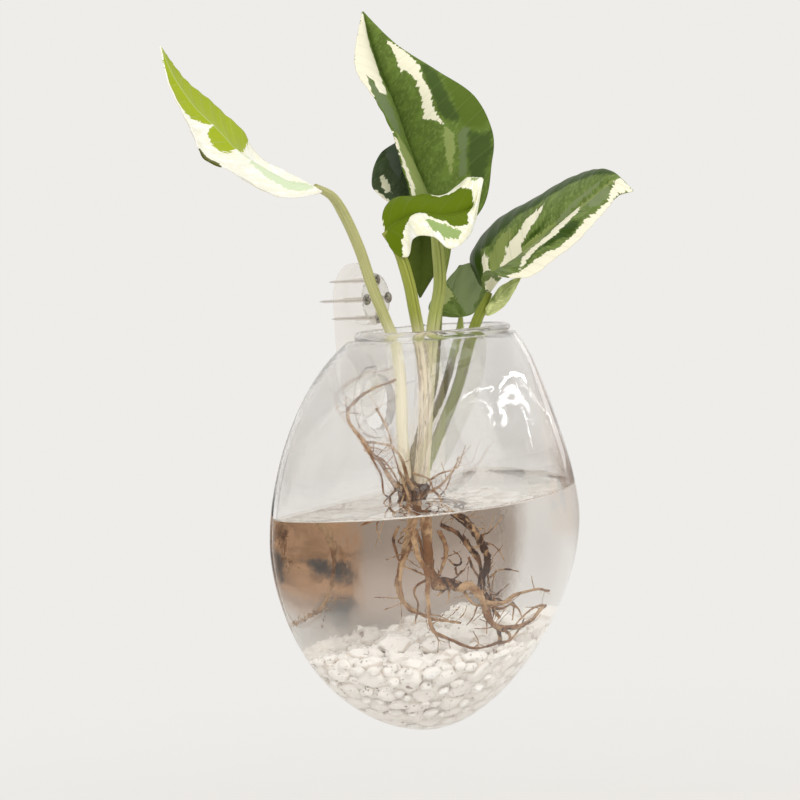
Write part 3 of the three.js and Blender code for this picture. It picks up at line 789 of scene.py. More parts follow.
def gravel_core(vase, gravel):
    """The grit behind the visible stones: a closed heap a little inside the glass and under the top."""
    steps, rows, rings = 120, 34, 26
    inset = vase.wall + gravel.sink
    foot = vase.widest_z - vase.below_widest + inset
    profile = [(0.0, -1.0)] + [(1.0, -1.0 + i / rows) for i in range(1, rows + 1)]
    profile += [(1.0 - i / rings, i / rings) for i in range(1, rings + 1)]
    shape = bmesh.new()
    spin_profile(shape, profile, steps)
    for corner in shape.verts:
        radius, height = math.hypot(corner.co.x, corner.co.y), corner.co.z
        turn = math.atan2(corner.co.y, corner.co.x) if radius > 1e-9 else 0.0
        level = gravel.middle_z
        for _ in range(6):
            rim = wall_point(vase, inset, turn, level)
            level = gravel_top(gravel, vase, rim.x, rim.y) - gravel.sink
        if height <= 0:
            on_wall = height > -1.0
            drop = math.sin((height + 1.0) * math.pi / 2) if on_wall else 0.0
            corner.co = wall_point(vase, inset, turn, level + (foot - level) * (1 - drop), float(on_wall))
        else:
            inner = wall_point(vase, inset, turn, level, 1.0 - height)
            corner.co = Vector((inner.x, inner.y, gravel_top(gravel, vase, inner.x, inner.y) - gravel.sink))
    face_out(shape)
    for corner in shape.verts:
        corner.normal_update()
    for corner in shape.verts:
        middle_far = noise.voronoi(corner.co / GRAIN)[0][0]
        corner.co += corner.normal * GRAIN_RELIEF * (GRAIN_LEVEL - middle_far)
    return shape


def cell_of(place):
    return tuple(int(c // CELL) for c in place)


def crowded(cells, place, half):
    """Whether a stone would reach too far into one that already lies there."""
    i, j, k = cell_of(place)
    around = [(i + a, j + b, k + c) for a in (-1, 0, 1) for b in (-1, 0, 1) for c in (-1, 0, 1)]
    return any(
        (place - other).length < (half + size) * STONE_NEARNESS
        for cell in around for other, size in cells.get(cell, ())
    )


class TERRARIUM_OT_gravel(bpy.types.Operator):
    """Heaps white stones in the foot of the vase and lays the larger pebbles on top"""

    bl_idname = "terrarium.gravel"
    bl_label = "Gravel and Pebbles"

    def execute(self, context):
        vase = context.scene.terrarium_vase
        gravel = context.scene.terrarium_gravel
        dice = random.Random(7)
        stones = stone_material("washed white gravel", gravel)
        shape = gravel_core(vase, gravel)
        shape.verts.layers.float.new("tone")
        cells = {}
        for place in chip_places(vase, gravel):
            half = self.lay_chip(shape, place, gravel, dice)
            cells.setdefault(cell_of(place), []).append((place, half * 0.92))
        taken = self.small_places(cells, vase, gravel, dice)
        for first in range(0, len(taken), 30):
            handful = bmesh.new()
            tone = handful.verts.layers.float.new("tone")
            for place, half in taken[first:first + 30]:
                shade = dice.random()
                for corner in stone_shape(handful, place, half, dice):
                    corner[tone] = shade
            join_into(shape, handful)
        boxes = {name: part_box(name) for name in sorted(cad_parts) if name.startswith("pebble_")}
        everything = [stone for near in cells.values() for stone in near]
        everything += [((low + high) / 2, sum(high - low) / 6) for low, high in boxes.values()]
        mark_shaded_gaps(shape, everything)
        bed = make_object("gravel_heap", shape, [stones], 48)
        place_piece(bed, "vase", "gravel", "gravel_bed")
        for name, (low, high) in boxes.items():
            pebble = self.pebble(low, high, dice)
            mark_shaded_gaps(pebble, everything)
            made = make_object("stone_" + name[-2:], pebble, [stones], 60)
            place_piece(made, "vase", "pebble", name)
        return {"FINISHED"}

    def lay_chip(self, shape, place, gravel, dice):
        """Adds one of the larger stones and returns its half length."""
        chip = bmesh.new()
        tone = chip.verts.layers.float.new("tone")
        bmesh.ops.create_icosphere(chip, subdivisions=3, radius=1.0)
        cuts, seed, shade = chip_cuts(dice, 7), random_seed(dice), dice.random()
        half = gravel.chip * dice.uniform(0.9, 1.04)
        turn = any_turn(dice)
        for corner in chip.verts:
            ball = turn @ worn_chip(corner.co.copy(), cuts, seed, 0.16)
            corner.co = place + Vector((ball.x, ball.y, ball.z * 0.9)) * half
            corner[tone] = shade
        join_into(shape, chip)
        return half

    def small_places(self, cells, vase, gravel, dice):
        """Finds room for the small stones in a thin layer under the top and behind the glass."""
        taken = []
        foot = vase.widest_z - vase.below_widest
        for attempt in range(STONE_TRIES):
            share = STONE_SHARES[attempt * len(STONE_SHARES) // STONE_TRIES]
            half = gravel.stone * share * dice.uniform(0.85, 1.15)
            x = dice.uniform(-vase.half_width, vase.half_width)
            y = -vase.behind - dice.uniform(0.002, vase.depth)
            top = gravel_top(gravel, vase, x, y)
            place = Vector((x, y, dice.uniform(foot, top)))
            room = depth_inside(vase, place)
            outside = room < half * 0.8 or place.z > top - half * 0.5
            hidden = room > half + 0.0012 and place.z < top - half - 0.0025
            if outside or hidden or crowded(cells, place, half):
                continue
            taken.append((place, half))
            cells.setdefault(cell_of(place), []).append((place, half))
        return taken

    def pebble(self, low, high, dice):
        """One pebble of the top layer, drawn to fill its place in the frame."""
        middle, span = (low + high) / 2, high - low
        shape = bmesh.new()
        tone = shape.verts.layers.float.new("tone")
        bmesh.ops.create_icosphere(shape, subdivisions=4, radius=1.0)
        seed = random_seed(dice)
        cuts = chip_cuts(dice, 7)
        shade = dice.random() * 0.7
        for corner in shape.verts:
            corner.co = worn_chip(corner.co.copy(), cuts, seed, 0.12)
        reach = [max(abs(corner.co[k]) for corner in shape.verts) for k in range(3)]
        for corner in shape.verts:
            corner.co = middle + Vector([corner.co[k] / reach[k] * span[k] * 0.49 for k in range(3)])
            corner[tone] = shade
        return shape


# Hook and pins

# the dent that the mould's gate left in the boss, and the length of a pin's point
GATE_RADIUS = 0.0015
GATE_DEPTH = 0.0005
PIN_POINT = 0.0025


def plate_outline(shape, hook, out):
    """A flat stadium, round at both ends, at a distance in front of the hook's back."""
    corners = []
    radius = hook.width / 2
    low = hook.foot_z + radius
    for middle, start in ((0.0, 0.0), (low, math.pi)):
        for i in range(33):
            turn = start + math.pi * i / 32
            x, z = radius * math.cos(turn), middle + radius * math.sin(turn)
            corners.append(shape.verts.new((x, -out, z)))
    return shape.faces.new(corners)


class TERRARIUM_OT_hook(bpy.types.Operator):
    """Moulds the clear plastic hook and sets its four steel pins"""

    bl_idname = "terrarium.hook"
    bl_label = "Hook and Pins"

    def execute(self, context):
        hook = context.scene.terrarium_hook
        plastic = plastic_material(hook)
        steel = pin_material(hook)
        plate = make_object("moulded_hook", self.plate(hook), [plastic], 35)
        for part in (self.boss(hook), self.peg(hook, context.scene.terrarium_vase)):
            carve(plate, make_object("moulded_part", part, [plastic]), "UNION")
        for i, name in enumerate(("pin_top", "pin_right", "pin_bottom", "pin_left")):
            turn = i * math.pi / 2
            x, z = hook.pin_circle * math.sin(turn), hook.pin_circle * math.cos(turn)
            drill(plate, (x, -hook.boss_front / 2, z), hook.shank_radius + GAP, 0.012, 32, plastic)
            pin = make_object("steel_" + name, self.pin(hook, x, z), [steel], 40)
            place_piece(pin, "hook", "pin_steel", name)
        plate.data.shade_smooth()
        plate.data.set_sharp_from_angle(angle=math.radians(35))
        place_piece(plate, "hook", "clear_plastic", "hook_plate")
        return {"FINISHED"}

    def plate(self, hook):
        shape = bmesh.new()
        face = plate_outline(shape, hook, 0.0)
        grown = bmesh.ops.extrude_face_region(shape, geom=[face])["geom"]
        moved = [g for g in grown if isinstance(g, bmesh.types.BMVert)]
        bmesh.ops.translate(shape, verts=moved, vec=(0, -hook.thickness, 0))
        face_out(shape)
        rims = [edge for edge in shape.edges if all(abs(v.co.y + hook.thickness) < 1e-6 for v in edge.verts)]
        bmesh.ops.bevel(
            shape, geom=rims, offset=hook.edge, segments=4, profile=0.5, affect="EDGES", material=-1,
        )
        return shape

    def boss(self, hook):
        """The round boss, with the small dent of its mould's gate."""
        front, radius = hook.boss_front, hook.boss_radius
        edge = hook.edge * 1.2
        profile = [(0.0, hook.thickness / 2), (radius, hook.thickness / 2), (radius, front - edge)]
        for i in range(1, 6):
            turn = math.pi / 2 * i / 6
            profile.append((radius - edge * (1 - math.cos(turn)), front - edge * (1 - math.sin(turn))))
        profile += [(radius - edge, front), (GATE_RADIUS, front)]
        profile += [(GATE_RADIUS * 0.8, front - GATE_DEPTH * 0.8), (0.0, front - GATE_DEPTH)]
        shape = bmesh.new()
        spin_profile(shape, profile, 72)
        lay_along_y(shape, 1)
        face_out(shape)
        return shape

    def peg(self, hook, vase):
        """The rising peg that carries the eyelet's bead from below."""
        seat_z = vase.eyelet_z + vase.ring_radius - vase.bead_radius - GAP
        seat_out = vase.behind + vase.eyelet_out
        lowered = seat_z - hook.peg_radius / math.cos(hook.peg_tilt)
        foot, tip = (
            Vector((0, -out, lowered + (out - seat_out) * math.tan(hook.peg_tilt)))
            for out in (hook.thickness / 2, hook.peg_reach)
        )

        def rounded(t):
            return hook.peg_radius * (1 - max(t - 0.86, 0) ** 2 * 12)

        shape = bmesh.new()
        sweep(shape, lambda t: foot.lerp(tip, t), rounded, 20, 40)
        face_out(shape)
        return shape

    def pin(self, hook, x, z):
        """A pin with a domed head over the boss and a point that stands out behind the hook."""
        back = -(hook.boss_front + GAP)
        profile = [(0.0, back - hook.head_height)]
        for k in range(1, 9):
            bend = math.pi / 2 * k / 8
            height = hook.head_height * (0.45 + 0.55 * math.cos(bend))
            profile.append((hook.head_radius * math.sin(bend), back - height))
        profile += [(hook.head_radius, back), (hook.shank_radius, back)]
        profile += [(hook.shank_radius, hook.into_wall - PIN_POINT), (0.0, hook.into_wall)]
        shape = bmesh.new()
        spin_profile(shape, profile, 36)
        lay_along_y(shape, -1)
        bmesh.ops.translate(shape, verts=shape.verts, vec=(x, 0, z))
        face_out(shape)
        return shape


def plastic_material(hook):
    """Thin clear plastic: seen through nearly unbent, with a faint skin that shows at its edges."""
    graph = new_graph("clear moulded plastic")
    place = graph.object_place()
    cloud = graph.noise(place, 160.0, 3.0, 0.6)
    facing = graph.node("ShaderNodeLayerWeight", inputs={"Blend": 0.35}, output="Facing")
    x, y, z = graph.split(place)
    out = (x * x + z * z) ** 0.5
    face = -hook.boss_front
    boss = graph.step(y, face + 0.0004, face + 0.0001) * graph.step(z, -0.012, -0.011)
    rim = boss * graph.step(out, hook.boss_radius - 0.0016, hook.boss_radius - 0.0009)
    gate = boss * graph.step(out, GATE_RADIUS, GATE_RADIUS * 0.8)
    # painted shade: the boss's face is darker, and a dark dashed ring marks its edge
    tone = graph.blend(boss, hook.plastic, (0.72, 0.70, 0.64))
    rim_shade_dashes = graph.step(graph.noise(place, 900.0, 2.0, 0.6), 0.48, 0.56)
    tone = graph.blend(rim * rim_shade_dashes, tone, (0.30, 0.28, 0.23))
    tone = graph.blend(gate, tone, (0.62, 0.42, 0.33))
    share = graph.step(facing, 0.2, 1.0, 0.10, 0.62) + boss * 0.18 + rim * 0.25 + gate * 0.4
    skin = principled(graph, color=tone, roughness=0.25, ior=PLASTIC_IOR, normal=graph.bump(cloud, 0.0002))
    return graph.finish(graph.mix(share, graph.see_through((0.985, 0.975, 0.96)), skin))


def pin_material(hook):
    graph = new_graph("plain pin steel")
    place = graph.object_place()
    scratch = graph.noise(place, 900.0, 3.0, 0.6)
    rough = graph.step(scratch, 0.3, 0.7, 0.28, 0.5)
    _, y, _ = graph.split(place)
    worn = graph.blend(graph.step(scratch, 0.42, 0.6), hook.steel, (0.62, 0.58, 0.53))
    shank = graph.step(y, -hook.boss_front - 0.0003, -hook.boss_front + 0.0002)
    tone = graph.blend(shank, worn, (0.80, 0.775, 0.745))
    return graph.finish(principled(
        graph, color=tone, metallic=0.6, roughness=rough, normal=graph.bump(scratch, 0.00005)
    ))


# Leaves

# each leaf in rows from the stalk to the tip, in mm: its left edge, its rib and its right edge
LEAF_ROWS = {
    "leaf_upright": [
        [(-6, -34, 26), (5, -33, 32), (13, -41, 22)],
        [(-12, -35, 38), (5, -31.5, 38), (16, -49, 32)],
        [(-16, -35, 49), (4.5, -27, 48.5), (16, -53, 46)],
        [(-20, -34, 60), (4, -23, 60), (16.5, -54, 56)],
        [(-21, -30, 70), (4, -19, 72), (15, -48.5, 70)],
        [(-19.5, -22, 79), (3.5, -15, 83), (11, -35, 81)],
        [(-11.5, -15.5, 88.5), (3, -12.5, 93), (7, -22, 91)],
        [(0, -12, 103.8), (0.3, -12, 104), (0.6, -12, 103.8)],
    ],
    "leaf_dark": [
        [(12.5, -15.5, 57.5), (15.5, -16.5, 58.5), (18.5, -17.5, 57)],
        [(5.5, -12, 52.5), (16, -14, 52), (23, -20.5, 53.5)],
        [(2, -10, 42), (16.5, -14.5, 41), (25.5, -24.5, 42)],
        [(4, -17, 33.5), (17, -17, 30), (25, -27.5, 29)],
        [(7.5, -19, 22.5), (17.5, -19.5, 20.5), (23.5, -28.5, 18)],
        [(7.5, -19.5, 11.5), (14, -21.5, 10), (18, -27, 10.5)],
        [(9.7, -22.4, -0.6), (10, -22.6, -0.8), (10.3, -22.8, -0.6)],
    ],
    "leaf_front": [
        [(-27, -33, 31), (-29, -35, 24), (-30, -38, 16)],
        [(-22, -35.5, 35.5), (-26, -40, 28), (-27, -42.5, 15)],
        [(-15.5, -40.5, 36), (-23, -45.5, 30), (-29, -46.5, 21)],
        [(-9.5, -46, 35.5), (-19.5, -52.5, 28.5), (-28, -54, 21.5)],
        [(-4.5, -50.5, 38.5), (-15, -57, 29), (-25.5, -58.5, 16.5)],
        [(-2, -54.5, 41), (-9.5, -59.5, 31), (-18, -62, 20.5)],
        [(-1, -58.7, 40.6), (-1, -59, 40.3), (-1.2, -59.3, 40)],
    ],
    "leaf_left": [
        [(-63, -29, 42), (-65, -33, 40), (-64.5, -37.5, 38)],
        [(-61, -18, 46), (-76, -30, 41.5), (-90, -38.5, 37)],
        [(-66, -11, 52), (-86, -26, 47), (-102, -38, 40)],
        [(-74, -10.5, 61), (-95, -24.5, 52), (-112, -34, 46)],
        [(-84, -10, 67.5), (-102, -22.5, 59), (-118, -29.5, 50)],
        [(-97.5, -10.5, 73.5), (-109.5, -20, 66), (-119.5, -27, 59)],
        [(-109.5, -13, 80.5), (-116, -18, 75.5), (-120, -20, 71.5)],
        [(-118.8, -16.3, 85.2), (-119, -16.5, 85.2), (-119.3, -16.7, 85)],
    ],
    "leaf_right": [
        [(19, -43, 3), (9, -53, 0), (-8, -63, 9)],
        [(24, -36.5, 12.5), (11.5, -57, 6), (-9, -70, 6)],
        [(30, -38, 19.5), (14, -64.5, 13), (-6, -78.5, 5.5)],
        [(35, -46, 27.5), (16, -73, 19.5), (-1, -85, 10)],
        [(39, -59, 33.5), (18, -81.5, 25.5), (4, -93, 16.5)],
        [(39.5, -74, 39.5), (19.5, -91, 31.5), (11, -99.5, 25.5)],
        [(32.5, -89, 41), (20, -98.5, 36), (15, -102.5, 31)],
        [(18.6, -107.2, 32.7), (18.4, -107.3, 32.5), (18.2, -107.4, 32.3)],
    ],
    "leaf_young": [
        [(6, -52.5, -8), (4.5, -54.5, -8), (4.5, -57, -7.5)],
        [(8, -53.5, -3.5), (4, -58.5, -3), (7, -61, -4)],
        [(10, -57, 1.5), (4.5, -63, 1), (7.5, -64.5, 1.5)],
        [(10.2, -65.6, 5), (10, -66, 5), (9.8, -66.2, 5)],
    ],
    "leaf_low": [
        [(17, -28, -8.5), (20, -33.5, -9), (24, -36.5, -8.5)],
        [(17, -22, -6), (19, -32, -4.5), (30.5, -38.5, -1.5)],
        [(18.5, -23, -1), (19, -31.5, 1.5), (30.5, -37.5, 6)],
        [(20, -28, 4), (20.5, -32.5, 6), (28, -36, 10.5)],
        [(22.8, -32.5, 10), (23, -33, 10.2), (23.2, -33.5, 10)],
    ],
}

# how far the two halves of each leaf bulge, as a share of their width
LEAF_ARCH = {
    "leaf_upright": 0.08, "leaf_dark": -0.12, "leaf_front": 0.15, "leaf_left": 0.1,
    "leaf_right": 0.12, "leaf_young": 0.12, "leaf_low": 0.12,
}


def leaf_point(curves, arch, along, across):
    left, middle, right = curves
    rib = centripetal(middle, along)
    edge = centripetal(left if across < 0 else right, along)
    share = abs(across)
    ahead = centripetal(middle, min(along + 0.01, 1.0)) - centripetal(middle, max(along - 0.01, 0.0))
    outward = (edge - rib) * (1 if across >= 0 else -1)
    normal = outward.cross(ahead)
    if normal.length > 1e-12:
        normal.normalize()
    lift = 4 * arch * outward.length * share * (1 - share)
    return rib.lerp(edge, share) + normal * lift, normal, outward.length


def leaf_start(share):
    """The rounded lobes beside the stalk start a little further along the blade."""
    corner = max(share - 0.45, 0.0) / 0.55
    return 0.075 * (1 - math.sqrt(max(1 - corner * corner, 0.0)))


# the leaves' markings: outlines of (across, along), from -1 to 1 and from 0 to 1
LEAF_MARKS = {
    "leaf_upright": {
        "grey": [
            [(-0.82, 0.7), (-0.78, 0.64), (-0.7, 0.57), (-0.7, 0.46), (-0.75, 0.39), (-0.9, 0.41),
             (-1, 0.48), (-1, 0.57), (-0.92, 0.64)],
            [(0.62, 0.42), (0.7, 0.45), (0.8, 0.47), (0.73, 0.4), (0.7, 0.32), (0.68, 0.23), (0.55, 0.22),
             (0.62, 0.3)],
        ],
        "bright": [
            [(0.92, 0.68), (1.05, 0.65), (1.05, 0.54), (1, 0.48), (0.9, 0.45), (0.78, 0.45), (0.7, 0.46),
             (0.7, 0.51), (0.73, 0.57), (0.78, 0.62)],
        ],
        "deep": [
            [(0.75, 0.44), (0.88, 0.43), (1, 0.45), (1, 0.35), (0.95, 0.27), (0.9, 0.22), (0.73, 0.23),
             (0.7, 0.31)],
            [(0.92, 0.76), (0.98, 0.72), (0.9, 0.68), (0.73, 0.6), (0.7, 0.54), (0.7, 0.48), (0.62, 0.47),
             (0.55, 0.48), (0.5, 0.51), (0.53, 0.57), (0.58, 0.63), (0.73, 0.7)],
        ],
        "pale": [
            [(0.5, 0.45), (0.55, 0.45), (0.58, 0.42), (0.58, 0.37), (0.55, 0.32), (0.5, 0.26), (0.45, 0.22),
             (0.45, 0.28), (0.45, 0.34)],
            [(-0.9, 0.4), (-0.72, 0.36), (-0.5, 0.29), (-0.3, 0.21), (0, 0.08), (-0.9, 0.1), (-0.95, 0.2),
             (-1, 0.29)],
        ],
        "cream": [
            [(-1.1, 1.02), (-0.25, 0.94), (-0.2, 0.85), (-0.12, 0.75), (-0.35, 0.66), (-0.62, 0.58),
             (-0.82, 0.6), (-0.74, 0.66), (-0.82, 0.7), (-0.95, 0.63), (-1.05, 0.56), (-1.1, 0.7),
             (-1.1, 0.9)],
            [(0.78, 0.88), (0.88, 0.86), (0.95, 0.82), (0.92, 0.79), (0.8, 0.73), (0.62, 0.67), (0.55, 0.6),
             (0.48, 0.54), (0.46, 0.5), (0.5, 0.48), (0.5, 0.45), (0.45, 0.47), (0.4, 0.48), (0.3, 0.48),
             (0.33, 0.51), (0.37, 0.54), (0.41, 0.6), (0.48, 0.65), (0.5, 0.69), (0.46, 0.71), (0.36, 0.69),
             (0.45, 0.75), (0.6, 0.82)],
            [(-1.02, 0.42), (-0.93, 0.34), (-0.88, 0.27), (-0.82, 0.21), (-0.85, 0.1), (-1.02, 0.1)],
        ],
    },
    "leaf_right": {
        "grey": [
            [(-0.07, 0.55), (-0.12, 0.65), (-0.15, 0.74), (-0.17, 0.82), (-0.25, 0.87), (-0.1, 0.79),
             (-0.07, 0.69), (-0.04, 0.61), (0.12, 0.52), (-0.02, 0.48)],
            [(-0.02, 0.68), (-0.02, 0.77), (0.4, 0.84), (0.8, 0.83), (0.73, 0.73), (0.6, 0.68)],
        ],
        "deep": [
            [(-1, 0.28), (-1, 0.4), (-0.95, 0.5), (-0.95, 0.65), (-0.95, 0.8), (-0.6, 0.9), (-0.4, 0.89),
             (-0.26, 0.86), (-0.44, 0.78), (-0.5, 0.68), (-0.5, 0.59), (-0.47, 0.51), (-0.52, 0.44),
             (-0.5, 0.37), (-0.52, 0.3), (-0.5, 0.24), (-0.7, 0.2)],
            [(-0.07, 0.32), (-0.1, 0.38), (-0.12, 0.45), (-0.12, 0.5), (-0.07, 0.45), (-0.05, 0.38),
             (-0.05, 0.33)],
            [(0.76, 0.29), (0.6, 0.37), (0.6, 0.42), (0.7, 0.46), (0.7, 0.5), (0.8, 0.55), (0.8, 0.6),
             (0.7, 0.62), (0.5, 0.6), (0.45, 0.55), (0.5, 0.49), (0.55, 0.42), (0.6, 0.35)],
            [(-1.02, 0.1), (-1.02, 0.26), (-0.75, 0.25), (-0.5, 0.18), (-0.35, 0.1), (-0.4, 0.0), (-1, 0)],
        ],
        "pale": [
            [(-0.35, 0.19), (-0.42, 0.27), (-0.45, 0.32), (-0.42, 0.36), (-0.38, 0.38), (-0.27, 0.34),
             (-0.25, 0.28), (-0.1, 0.22), (-0.05, 0.12), (-0.2, 0.12)],
            [(-0.02, 0.64), (-0.02, 0.71), (-0.02, 0.79), (-0.12, 0.9), (0.25, 0.87), (0.25, 0.76),
             (0.25, 0.68), (0.38, 0.63)],
            [(-0.05, 0.42), (-0.05, 0.48), (-0.02, 0.52), (0.18, 0.46), (0.35, 0.42), (0.35, 0.36),
             (0.5, 0.32), (-0.02, 0.29), (-0.07, 0.32), (-0.05, 0.37)],
        ],
        "cream": [
            [(-0.2, 0.27), (-0.24, 0.3), (-0.24, 0.35), (-0.28, 0.39), (-0.34, 0.45), (-0.36, 0.5),
             (-0.4, 0.54), (-0.3, 0.52), (-0.2, 0.44), (-0.14, 0.38), (-0.09, 0.32), (0, 0.28), (0.2, 0.2),
             (0.1, 0.12), (-0.1, 0.14), (-0.12, 0.22)],
            [(0.5, 0.3), (0.38, 0.36), (0.38, 0.42), (0.3, 0.48), (0.22, 0.52), (0.2, 0.57), (0, 0.66),
             (0.35, 0.63), (0.42, 0.57), (0.5, 0.51), (0.55, 0.46), (0.52, 0.4), (0.6, 0.34), (0.8, 0.26)],
            [(0.86, 0.25), (0.78, 0.32), (0.76, 0.38), (0.8, 0.44), (0.86, 0.49), (0.86, 0.55),
             (0.77, 0.62), (0.84, 0.7), (0.84, 0.8), (0.5, 0.86), (-0.1, 0.88), (-0.4, 0.92), (-1.1, 1.03),
             (1.1, 1.03), (1.15, 0.6), (1.15, 0.2), (0.95, 0.16)],
            [(-0.5, 0.21), (-0.32, 0.17), (-0.1, 0.1), (0.3, 0.08), (0.3, 0), (-0.2, 0), (-0.36, 0.12),
             (-0.48, 0.17)],
        ],
    },
    "leaf_left": {
        "pale": [
            [(-0.68, 0.35), (-0.78, 0.25), (-0.8, 0.18), (-0.7, 0.02), (0.2, 0.02), (0.33, 0.08),
             (0.18, 0.17), (0.12, 0.25), (0.03, 0.34)],
        ],
        "bright": [
            [(0.7, 0.98), (-2.5, 1.03), (-1.2, 0.7), (-1.2, 0.38), (-0.7, 0.36), (0.15, 0.45), (0.3, 0.5),
             (0.3, 0.56), (0.2, 0.6), (0, 0.6), (0.07, 0.63), (0.25, 0.69), (0.6, 0.77), (0.85, 0.83),
             (0.85, 0.9)],
        ],
        "deep": [
            [(0.86, 0.62), (0.84, 0.56), (0.84, 0.47), (1.1, 0.46), (1.1, 0.62)],
        ],
    },
    "leaf_front": {
        "bright": [
            [(-1.1, 0), (-1.1, 0.3), (-0.85, 0.42), (-0.6, 0.5), (-0.22, 0.56), (0.03, 0.43), (0.07, 0.3),
             (0.3, 0.21), (0.6, 0.14), (1.1, 0.1), (1.1, 0)],
            [(-0.07, 0.36), (-0.45, 0.43), (-0.68, 0.52), (-0.66, 0.7), (-0.4, 0.82), (0.1, 0.84),
             (0.22, 0.76), (0.6, 0.8), (0.5, 0.67), (0.42, 0.56), (0.25, 0.42)],
        ],
        "grey": [
            [(0.43, 0.42), (0.5, 0.52), (0.53, 0.64), (0.65, 0.74), (0.8, 0.72), (0.84, 0.61), (0.84, 0.5),
             (0.7, 0.44)],
            [(-0.95, 0.86), (-0.8, 0.82), (-0.7, 0.9), (-0.8, 0.97)],
        ],
    },
    "leaf_dark": {
        "bright": [
            [(-1.5, 0.5), (-0.4, 0.46), (0.4, 0.44), (1.5, 0.4), (2.0, 1.2), (-2.0, 1.2)],
        ],
        # on the dark leaf this grey patch is a painted sheen
        "grey": [
            [(-0.95, 0.12), (-1, 0.04), (-0.95, 0), (0.05, 0.1), (0.1, 0.22), (-0.17, 0.3), (-0.45, 0.26),
             (-0.68, 0.2)],
        ],
        "cream": [
            [(-0.82, 0.29), (-0.7, 0.29), (-0.58, 0.34), (-0.62, 0.4), (-0.82, 0.4)],
            [(-1.05, 0.36), (-0.96, 0.38), (-0.94, 0.48), (-1.05, 0.52)],
        ],
    },
    "leaf_low": {
        "grey": [
            [(-0.6, 0.68), (-0.5, 0.9), (0, 1.02), (0.95, 0.85), (0.98, 0.59), (0.85, 0.39), (0.7, 0.22),
             (0.88, 0.04), (0.35, 0.04), (0.12, 0.23), (0.05, 0.42), (-0.22, 0.55)],
        ],
        "cream": [
            [(-0.98, 0.42), (-0.85, 0.54), (-0.62, 0.66), (-0.12, 0.52), (0.05, 0.37), (-0.2, 0.36),
             (-0.4, 0.28), (-0.62, 0.18), (-0.8, 0.29)],
        ],
    },
    "leaf_young": {
        "bright": [
            [(-0.5, 0.3), (-0.2, 0.36), (-0.3, 0.5), (-0.6, 0.45)],
            [(0.2, 0.5), (0.5, 0.55), (0.4, 0.75), (0.15, 0.7)],
        ],
    },
}

# each leaf's own colours, where they aren't the common ones
LEAF_TONES = {
    "leaf_upright": {
        "green": (0.086, 0.14, 0.013), "bright": (0.075, 0.13, 0.002), "grey": (0.13, 0.185, 0.07),
    },
    "leaf_dark": {
        # the dark leaf's grey is the colour of a painted sheen
        "green": (0.036, 0.06, 0.026), "grey": (0.1, 0.135, 0.11), "bright": (0.085, 0.125, 0.003),
    },
    "leaf_front": {
        "green": (0.90, 0.89, 0.66), "bright": (0.115, 0.175, 0.002), "grey": (0.33, 0.45, 0.16),
    },
    "leaf_left": {
        "green": (0.92, 0.90, 0.74), "bright": (0.37, 0.46, 0.02), "pale": (0.68, 0.79, 0.55),
        "deep": (0.085, 0.09, 0.004),
    },
    "leaf_right": {"green": (0.12, 0.172, 0.038), "grey": (0.21, 0.265, 0.115)},
    "leaf_young": {"green": (0.50, 0.56, 0.23), "bright": (0.16, 0.24, 0.03)},
    "leaf_low": {"green": (0.11, 0.165, 0.035), "grey": (0.22, 0.285, 0.13), "cream": (0.42, 0.48, 0.19)},
}

# the markings in the order in which they're painted, with the width in mm of their soft edge
MARK_EDGES = {"grey": 0.3, "bright": 1.3, "deep": 1.0, "pale": 0.2, "cream": 0.14}
CRISP_LEAVES = ("leaf_front", "leaf_left")
CRISP_EDGE = 0.15
DARK_LEAVES = ("leaf_dark", "leaf_low")
SMALL_LEAVES = ("leaf_young", "leaf_low")
# the pitch of the side veins in cm, and how far they slant
VEIN_PITCH = 0.62
VEIN_SLANT = 0.75
# the groove over a rib, the run of the side veins' relief, and how far a blade waves
GROOVE_DEPTH = 0.0006
GROOVE_WIDTH = 0.0011
VEIN_RUN = 0.0011
BLADE_WAVE = 0.0011


def inside_distance(spots, outline):
    """How far each spot lies inside a closed outline; spots outside are negative."""
    nearest = np.full(len(spots), 1e9)
    within = np.zeros(len(spots), dtype=bool)
    for start, end in zip(outline, np.roll(outline, -1, axis=0)):
        edge = end - start
        share = np.clip((spots - start) @ edge / max(edge @ edge, 1e-12), 0.0, 1.0)
        nearest = np.minimum(nearest, np.linalg.norm(spots - start - share[:, None] * edge, axis=1))
        crosses = (start[1] > spots[:, 1]) != (end[1] > spots[:, 1])
        rise = edge[1] if abs(edge[1]) > 1e-12 else 1e-12
        within ^= crosses & (spots[:, 0] < start[0] + (spots[:, 1] - start[1]) * edge[0] / rise)
    return np.where(within, nearest, -nearest)


